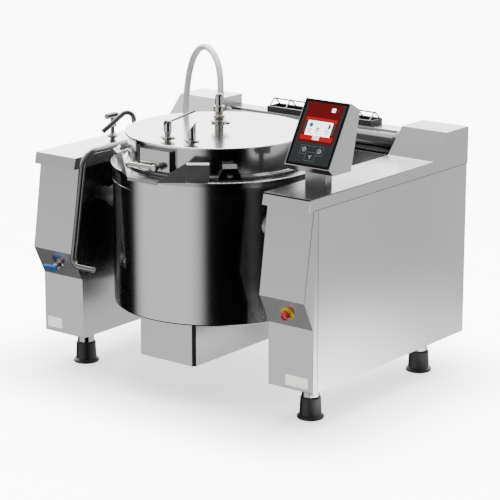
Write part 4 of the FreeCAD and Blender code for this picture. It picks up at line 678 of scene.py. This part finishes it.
# %% The hose's line and its tube
hose_route = [
    (-0.006, -0.123, 1.156), (-0.006, -0.123, 1.215), (-0.014, -0.118, 1.276), (-0.040, -0.104, 1.322),
    (-0.086, -0.079, 1.350), (-0.146, -0.046, 1.359), (-0.208, -0.011, 1.338), (-0.256, 0.015, 1.300),
    (-0.293, 0.036, 1.250), (-0.320, 0.051, 1.186), (-0.337, 0.060, 1.116), (-0.346, 0.065, 1.040),
    (-0.346, 0.065, 0.972),
]
hose_diameter = 0.026


def spline_line(name, route):
    """Points along a NURBS spline that has the route's points as its corners."""
    curve = bpy.data.curves.new(name, "CURVE")
    curve.dimensions = "3D"
    curve.resolution_u = 12
    spline = curve.splines.new("NURBS")
    spline.points.add(len(route) - 1)
    spline.points.foreach_set("co", np.hstack([np.array(route), np.ones((len(route), 1))]).ravel())
    spline.order_u = 3
    spline.use_endpoint_u = True
    holder = bpy.data.objects.new(name, curve)
    bpy.context.scene.collection.objects.link(holder)
    bpy.context.view_layer.update()
    flat = bpy.data.meshes.new_from_object(holder)
    points = np.array([v.co for v in flat.vertices])
    bpy.data.objects.remove(holder)
    return points


def tube_mesh(name, path, radius, finish, sides=20):
    """Round tube: at each path point a circle of radius r in the plane across the path,
    with the circle's first direction carried along so that it doesn't twist."""
    tangents = np.gradient(path, axis=0)
    tangents /= np.linalg.norm(tangents, axis=1, keepdims=True)
    first = np.cross(tangents[0], [0.0, 1.0, 0.0])
    frames = [first / np.linalg.norm(first)]
    for tangent in tangents[1:]:
        carried = frames[-1] - tangent * (frames[-1] @ tangent)
        frames.append(carried / np.linalg.norm(carried))
    across = np.array(frames)
    beside = np.cross(tangents, across)
    angles = np.linspace(0.0, 2 * math.pi, sides, endpoint=False)
    rings = (path[:, None, :] + radius * (np.cos(angles)[None, :, None] * across[:, None, :]
                                          + np.sin(angles)[None, :, None] * beside[:, None, :]))
    count = len(path)
    i, j = np.meshgrid(np.arange(count - 1), np.arange(sides), indexing="ij")
    k = (j + 1) % sides
    quads = np.stack([i * sides + j, i * sides + k, (i + 1) * sides + k, (i + 1) * sides + j], axis=-1)
    faces = quads.reshape(-1, 4).tolist() + [list(range(sides))[::-1],
                                             list(range((count - 1) * sides, count * sides))]
    return piece(name, rings.reshape(-1, 3), faces, finish, None, smooth=True)


hose_line = spline_line("hose_line", hose_route)
hose = tube_mesh("soft_steam_hose", hose_line, hose_diameter / 2, silicone)
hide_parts("steam_hose")
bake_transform(hose)

# %% [markdown]
# The wire guard and the relief lever are drawn from round bar. Against the white wall a
# thin wire nearly vanishes, and the real bars look stouter than their first measure, so
# each is made again from its own solid with the skin moved outwards by a small distance.

# %% Stouter bars
guard_growth, lever_growth = 0.0013, 0.0018
pivot_reach, pivot_fade = 0.014, 0.012
bar_fold = math.radians(50)


def welded_copy(source):
    """Points and triangles of a solid, with the points that lie on each other made one."""
    mesh = bpy.data.objects[source].data
    points = np.empty(len(mesh.vertices) * 3)
    mesh.vertices.foreach_get("co", points)
    corners = np.empty(len(mesh.loops), int)
    mesh.loops.foreach_get("vertex_index", corners)
    welded, corner_of = np.unique(np.round(points.reshape(-1, 3), 6), axis=0, return_inverse=True)
    faces = corner_of.reshape(-1)[corners].reshape(-1, 3)
    a, b, c = faces.T
    return welded, faces[(a != b) & (b != c) & (c != a)]


def stouter(name, source, distance, body, pivot=None):
    """Each point moves along its own normal by distance. Round a pivot it stays where it is,
    and further out the move grows from nothing to the whole distance."""
    points, faces = welded_copy(source)
    made = piece(name, points, faces.tolist(), chrome_painted_dark, body, smooth=True)
    normals = np.empty(len(points) * 3)
    made.data.vertex_normals.foreach_get("vector", normals)
    share = np.ones(len(points))
    if pivot is not None:
        away = np.linalg.norm(points - np.array(pivot), axis=1)
        share = np.clip((away - pivot_reach) / pivot_fade, 0.0, 1.0)
    moved = points + normals.reshape(-1, 3) * distance * share[:, None]
    made.data.vertices.foreach_set("co", moved.ravel())
    made.data.update()
    made.data.set_sharp_from_angle(angle=bar_fold)
    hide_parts(source)
    return made


guard_bars = stouter("guard_bars", "flue_guard", guard_growth, "frame")
lever_low, lever_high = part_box("relief_lever")
lever_pivot = ((lever_low.x + lever_high.x) / 2, lever_low.y + 0.008, lever_low.z + 0.006)
lever_bar = stouter("lever_bar", "relief_lever", lever_growth, "relief_lever", lever_pivot)
print("stouter bars", guard_bars.name, lever_bar.name)

# %% [markdown]
# The columns. Each body is one sheet folded round: its front stands back under the
# worktop, leans out to a knee, falls back again and drops straight. A flat panel is let
# into its outer side, and the joint shows as one dark upright line, a black strip of
# painted shadow. The solids' front doesn't lean as far as the real one above the knee, so
# each body is a copy of its own sheet, bores and all, with that front leaned back.

# %% The sheet of a column's body, leaned back
front, knee, back, seam = -0.4435, -0.5026, 0.618, -0.4150
foot, undercut, knee_height, skirt, top = 0.150, 0.403, 0.523, 0.873, 0.905
panel_sheet, clearance = 0.0016, 0.0001
behind_front, lean_back = -0.440, 0.0867
column_low, column_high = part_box("right_column_body")
outer = column_high.x
cheek_inside = outer - panel_sheet


def leaned_body(name, source):
    """A point of the front at height z above the knee moves back by lean_back times its
    height over the knee, and the sheet's outer side comes in by the panel's thickness."""
    points, faces = welded_copy(source)
    in_front = points[:, 1] < behind_front
    points[:, 1] += np.clip(points[:, 2] - knee_height, 0.0, None) * in_front * lean_back
    points[:, 0] = np.clip(points[:, 0], clearance - cheek_inside, cheek_inside - clearance)
    made = piece(name, points, faces.tolist(), column_steel, "frame")
    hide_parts(source)
    return made


print("a column's outer side is at", round(outer, 4))

# %% [markdown]
# The cheek in front and the panel behind it lie on the body's outer side. Folds aren't
# sharp: a bend of a few millimetres catches the light. So each outline is rounded at its
# corners, carried across, and drawn in a little at its outer end, which makes a soft edge.

# %% Outlines with soft corners
fold_angle = math.radians(31)


def rounded_outline(corners, radii, steps=6):
    """Outline whose corners are arcs: each arc turns about its middle from one side to the
    next, as the sum of its first and last spoke, each weighted with a sine."""
    corners = np.array(corners)
    share = np.linspace(0.0, 1.0, steps)[:, None]
    points = []
    for at, before, after, radius in zip(corners, np.roll(corners, 1, 0), np.roll(corners, -1, 0), radii):
        if radius == 0.0:
            points.append(at[None, :])
            continue
        a = (before - at) / np.linalg.norm(before - at)
        b = (after - at) / np.linalg.norm(after - at)
        half = math.acos(float(np.clip(a @ b, -1.0, 1.0))) / 2
        middle = at + (a + b) / np.linalg.norm(a + b) * radius / math.sin(half)
        first = at + a * radius / math.tan(half) - middle
        last = at + b * radius / math.tan(half) - middle
        sweep = math.pi - 2 * half
        arc = np.sin((1 - share) * sweep) * first + np.sin(share * sweep) * last
        points.append(middle + arc / math.sin(sweep))
    return np.vstack(points)


def drawn_in(outline, distance):
    """Outline moved inwards: each point goes along the mean of its two sides' normals."""
    y, z = outline.T
    ahead = np.roll(outline, -1, 0) - outline
    normals = np.stack([-ahead[:, 1], ahead[:, 0]], axis=1) / np.linalg.norm(ahead, axis=1)[:, None]
    mean = normals + np.roll(normals, 1, 0)
    area = np.sum(y * np.roll(z, -1) - np.roll(y, -1) * z)
    return outline + np.sign(area) * distance * 2 * mean / np.sum(mean * mean, axis=1)[:, None]


def folded(name, outline, start, end, soft, finish):
    """Outline of (y, z) points carried along X from start to end, where a quarter round of
    radius soft draws it in."""
    quarter = np.linspace(0.0, math.pi / 2, 4) if soft else [math.pi / 2]
    layers = [(start, 0.0)]
    layers += [(end - soft * (1.0 - math.sin(t)), abs(soft) * (1.0 - math.cos(t))) for t in quarter]
    n = len(outline)
    rings = [np.column_stack([np.full(n, x), drawn_in(outline, draw)]) for x, draw in layers]
    i, j = np.meshgrid(np.arange(len(rings) - 1), np.arange(n), indexing="ij")
    k = (j + 1) % n
    quads = np.stack([i * n + j, (i + 1) * n + j, (i + 1) * n + k, i * n + k], axis=-1)
    ends = [list(range(n)), list(range((len(rings) - 1) * n, len(rings) * n))[::-1]]
    faces = quads.reshape(-1, 4).tolist() + ends
    made = piece(name, np.vstack(rings), faces, finish, "frame", smooth=True)
    made.data.set_sharp_from_angle(angle=fold_angle)
    return made


print("folding helpers ready")

# %% [markdown]
# Both columns are built alike, and the left one is the right one's mirror image: its
# sheets run the other way along X, so its faces are turned about. The gap between the
# cheek and the panel holds a black strip of painted shadow, and another black strip of
# painted shadow lies under the worktop.

# %% Both columns
seam_gap, panel_inset, strip_inset, skirt_shadow_strip = 0.0014, 0.0005, 0.001, 0.0025
cheek_soft, panel_soft, bend = 0.0012, 0.0006, 0.004
panel_top = top - strip_inset
cheek_outline = rounded_outline(
    [(front, foot), (front, undercut), (knee, knee_height), (front, skirt), (front, top), (seam, top),
     (seam, foot)],
    [bend, bend, bend, 0.0, 0.0, 0.0, 0.0])
door_outline = rounded_outline(
    [(seam + seam_gap, foot + panel_inset), (seam + seam_gap, panel_top),
     (back - panel_inset, panel_top), (back - panel_inset, foot + panel_inset)],
    [0.001, 0.001, 0.001, 0.003], steps=4)
# Black strips of painted shadow: one in the gap between the cheek and the panel, one under the worktop's
# skirt
gap_shadow_outline = np.array([(seam, foot + strip_inset), (seam, skirt - strip_inset),
                         (seam + seam_gap, skirt - strip_inset), (seam + seam_gap, foot + strip_inset)])
edge_outline = np.array([(front, skirt - skirt_shadow_strip), (front, skirt),
                         (back, skirt), (back, skirt - skirt_shadow_strip)])
sheets = {
    "cheek": (cheek_outline, cheek_inside, outer, cheek_soft, panel_z, "panel_steel"),
    "door": (door_outline, cheek_inside + clearance, outer, panel_soft, panel_y, "panel_steel"),
    "seal": (gap_shadow_outline, cheek_inside, outer - 0.0008, 0.0, black_plastic, "black_plastic"),
    "skirt_shadow_strip": (edge_outline, outer - 0.001, outer + 0.0012, 0.0, black_plastic, "black_plastic"),
}
for side, way in (("right", 1.0), ("left", -1.0)):
    leaned_body("%s_column_sheet" % side, "%s_column_body" % side)
    for part, (outline, start, end, soft, finish, slot) in sheets.items():
        name = "%s_column_%s" % (side, part)
        made = folded(name, outline, way * start, way * end, way * soft, finish)
        if way < 0:
            made.data.flip_normals()
        if part == "door":
            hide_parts("%s_side_panel" % side)
print("sheets of each column", 1 + len(sheets))

# %% [markdown]
# The studio. Bare steel shows its surroundings, so the room matters more than any lamp.
# The photographer put a white wall at the back, which the lid and worktops mirror, two
# broad grey screens left and right of the camera, and black cloth between and beside
# them, which draws the dark bands down the round vessel. The room is written as a sum:
# for each direction, how far it points to a screen's middle, with soft edges.

# %% A room of screens and black cloth


class Room(Tree):
    """The light that comes from each direction of the room."""

    def __init__(self):
        world = bpy.data.worlds.new("studio_room")
        world.use_nodes = True
        super().__init__(world.node_tree)
        bpy.context.scene.world = world
        self.x, self.y, self.z = self.axes(direction_output)
        flat = self.maths("SQRT", self.x * self.x + self.y * self.y + 0.0001)
        self.across = self.maths("DIVIDE", self.x, flat)
        self.along = self.maths("DIVIDE", self.y, flat)

    def maths(self, operation, *values):
        return self.node("ShaderNodeMath", {"operation": operation}, *values)

    def screen(self, middle, half_width, soft):
        """1 inside a screen round a compass angle in degrees, 0 outside, soft at the edge."""
        angle = math.radians(middle)
        towards = self.across * math.cos(angle) + self.along * math.sin(angle)
        outside = math.cos(math.radians(half_width + soft))
        inside = math.cos(math.radians(half_width - soft))
        return self.ramp(towards, outside, inside)


room = Room()
left_screen = room.screen(-110.0, 38.0, 12.0)
right_screen = room.screen(54.0, 64.0, 6.0)
back_wall = room.screen(128.0, 58.0, 18.0)
low_light = left_screen * 1.12 + right_screen * 0.92 + 0.001
high_light = back_wall * 5.0 + left_screen * 0.4 + 0.10
above_floor = room.ramp(room.z, -0.04, 0.10)
zenith = room.ramp(room.z, 0.50, 0.85)
light = low_light + above_floor * (high_light - low_light) + zenith * 0.4
background = room.tree.nodes["Background"]
room.feed(background.inputs["Color"], light)
room.feed(background.inputs["Strength"], 1.0)
print("room's nodes", len(room.tree.nodes))

# %% [markdown]
# The floor is a pale sweep lit from inside like a light table, so the machine stands on
# near white with only a soft shadow, and the same sweep goes up as a round wall far away.
# The steel must not mirror it, as the black cloth would then be lost. Under the machine
# the table's light fades out, as the machine's own shadow would have it.

# %% The floor and the far round wall
floor_glow, reach, wall_reach, wall_steps = 9.0, 30.0, 29.4, 96
shadow_across, shadow_along, shadow_depth = (0.20, 1.5), (0.10, 1.0), 0.84


def stage(made, *hidden_from):
    """Hides a piece of the stage from some kinds of ray."""
    for ray in hidden_from:
        setattr(made, "visible_" + ray, False)


floor_finish = Finish("pale_floor", Roughness=0.9, Specular_IOR_Level=0.1, Emission_Strength=floor_glow)
floor_tone = floor_finish.mix(floor_finish.noise(0.6), grey(0.87), grey(0.90))
x, y, _ = floor_finish.axes(object_output)
beside = 1.0 - floor_finish.ramp(x * x, *shadow_across)
under = beside * (1.0 - floor_finish.ramp(y * y, *shadow_along))
floor_light = floor_finish.mix(under * shadow_depth, floor_tone, grey(0.0))
floor_finish.set(Base_Color=floor_tone, Emission_Color=floor_light)

floor_corners = [(-reach, -reach, 0.0), (reach, -reach, 0.0), (reach, reach, 0.0), (-reach, reach, 0.0)]
floor = piece("floor", floor_corners, [(0, 1, 2, 3)], floor_finish.material, None)
turn = np.linspace(0.0, 2 * math.pi, wall_steps, endpoint=False)
circle = np.stack([np.cos(turn), np.sin(turn)], axis=1) * wall_reach
wall_points = np.vstack([np.column_stack([circle, np.full(wall_steps, height)]) for height in (0.0, reach)])
i = np.arange(wall_steps)
j = (i + 1) % wall_steps
wall_faces = np.stack([i, i + wall_steps, j + wall_steps, j], axis=1)
backdrop = piece("backdrop", wall_points, wall_faces.tolist(), floor_finish.material, None)
for sweep in (floor, backdrop):
    stage(sweep, "glossy", "diffuse", "transmission", "shadow")
print("stage", floor.name, backdrop.name)

# %% [markdown]
# The right side is broad and flat, and mirrors the floor before it: bright near the
# machine and towards its front, darker further off. A card on the floor that only
# mirrors can see gives the steel that light, and one lamp above softens the rest.

# %% The mirrored card and one soft lamp
card_near, card_front, card_skew = (0.70, 2.1), (-1.5, -0.1), 1.28
card_height = 0.002

card_finish = Finish("light_card", Roughness=1.0, Specular_IOR_Level=0.0, Emission_Strength=1.0)
x, y, _ = card_finish.axes(object_output)
near = 1.0 - card_finish.ramp(x, *card_near)
forward = 1.0 - card_finish.ramp(y - x * card_skew, *card_front)
card_finish.set(Base_Color=grey(0.0), Emission_Color=near * near * (forward * 3.4 + 0.9) + 0.84)
card_corners = [(0.74, -0.62, card_height), (6.0, 6.1, card_height), (6.0, 7.9, card_height),
                (0.74, 1.2, card_height)]
card = piece("light_card", card_corners, [(0, 1, 2, 3)], card_finish.material, None)
stage(card, "camera", "diffuse", "transmission", "shadow")


def soft_lamp(name, place, aim, size, power):
    """Square area lamp that faces a point and isn't mirrored itself."""
    lamp = bpy.data.lights.new(name, "AREA")
    lamp.size = size
    lamp.energy = power
    holder = bpy.data.objects.new(name, lamp)
    holder.location = place
    direction = Vector(aim) - Vector(place)
    holder.rotation_euler = direction.to_track_quat("-Z", "Y").to_euler()
    holder.visible_glossy = False
    bpy.context.scene.collection.objects.link(holder)
    return holder


soft_lamp("lamp_top", (0.4, -0.6, 4.6), (0.0, 0.0, 0.8), 3.2, 260.0)
print("studio ready")
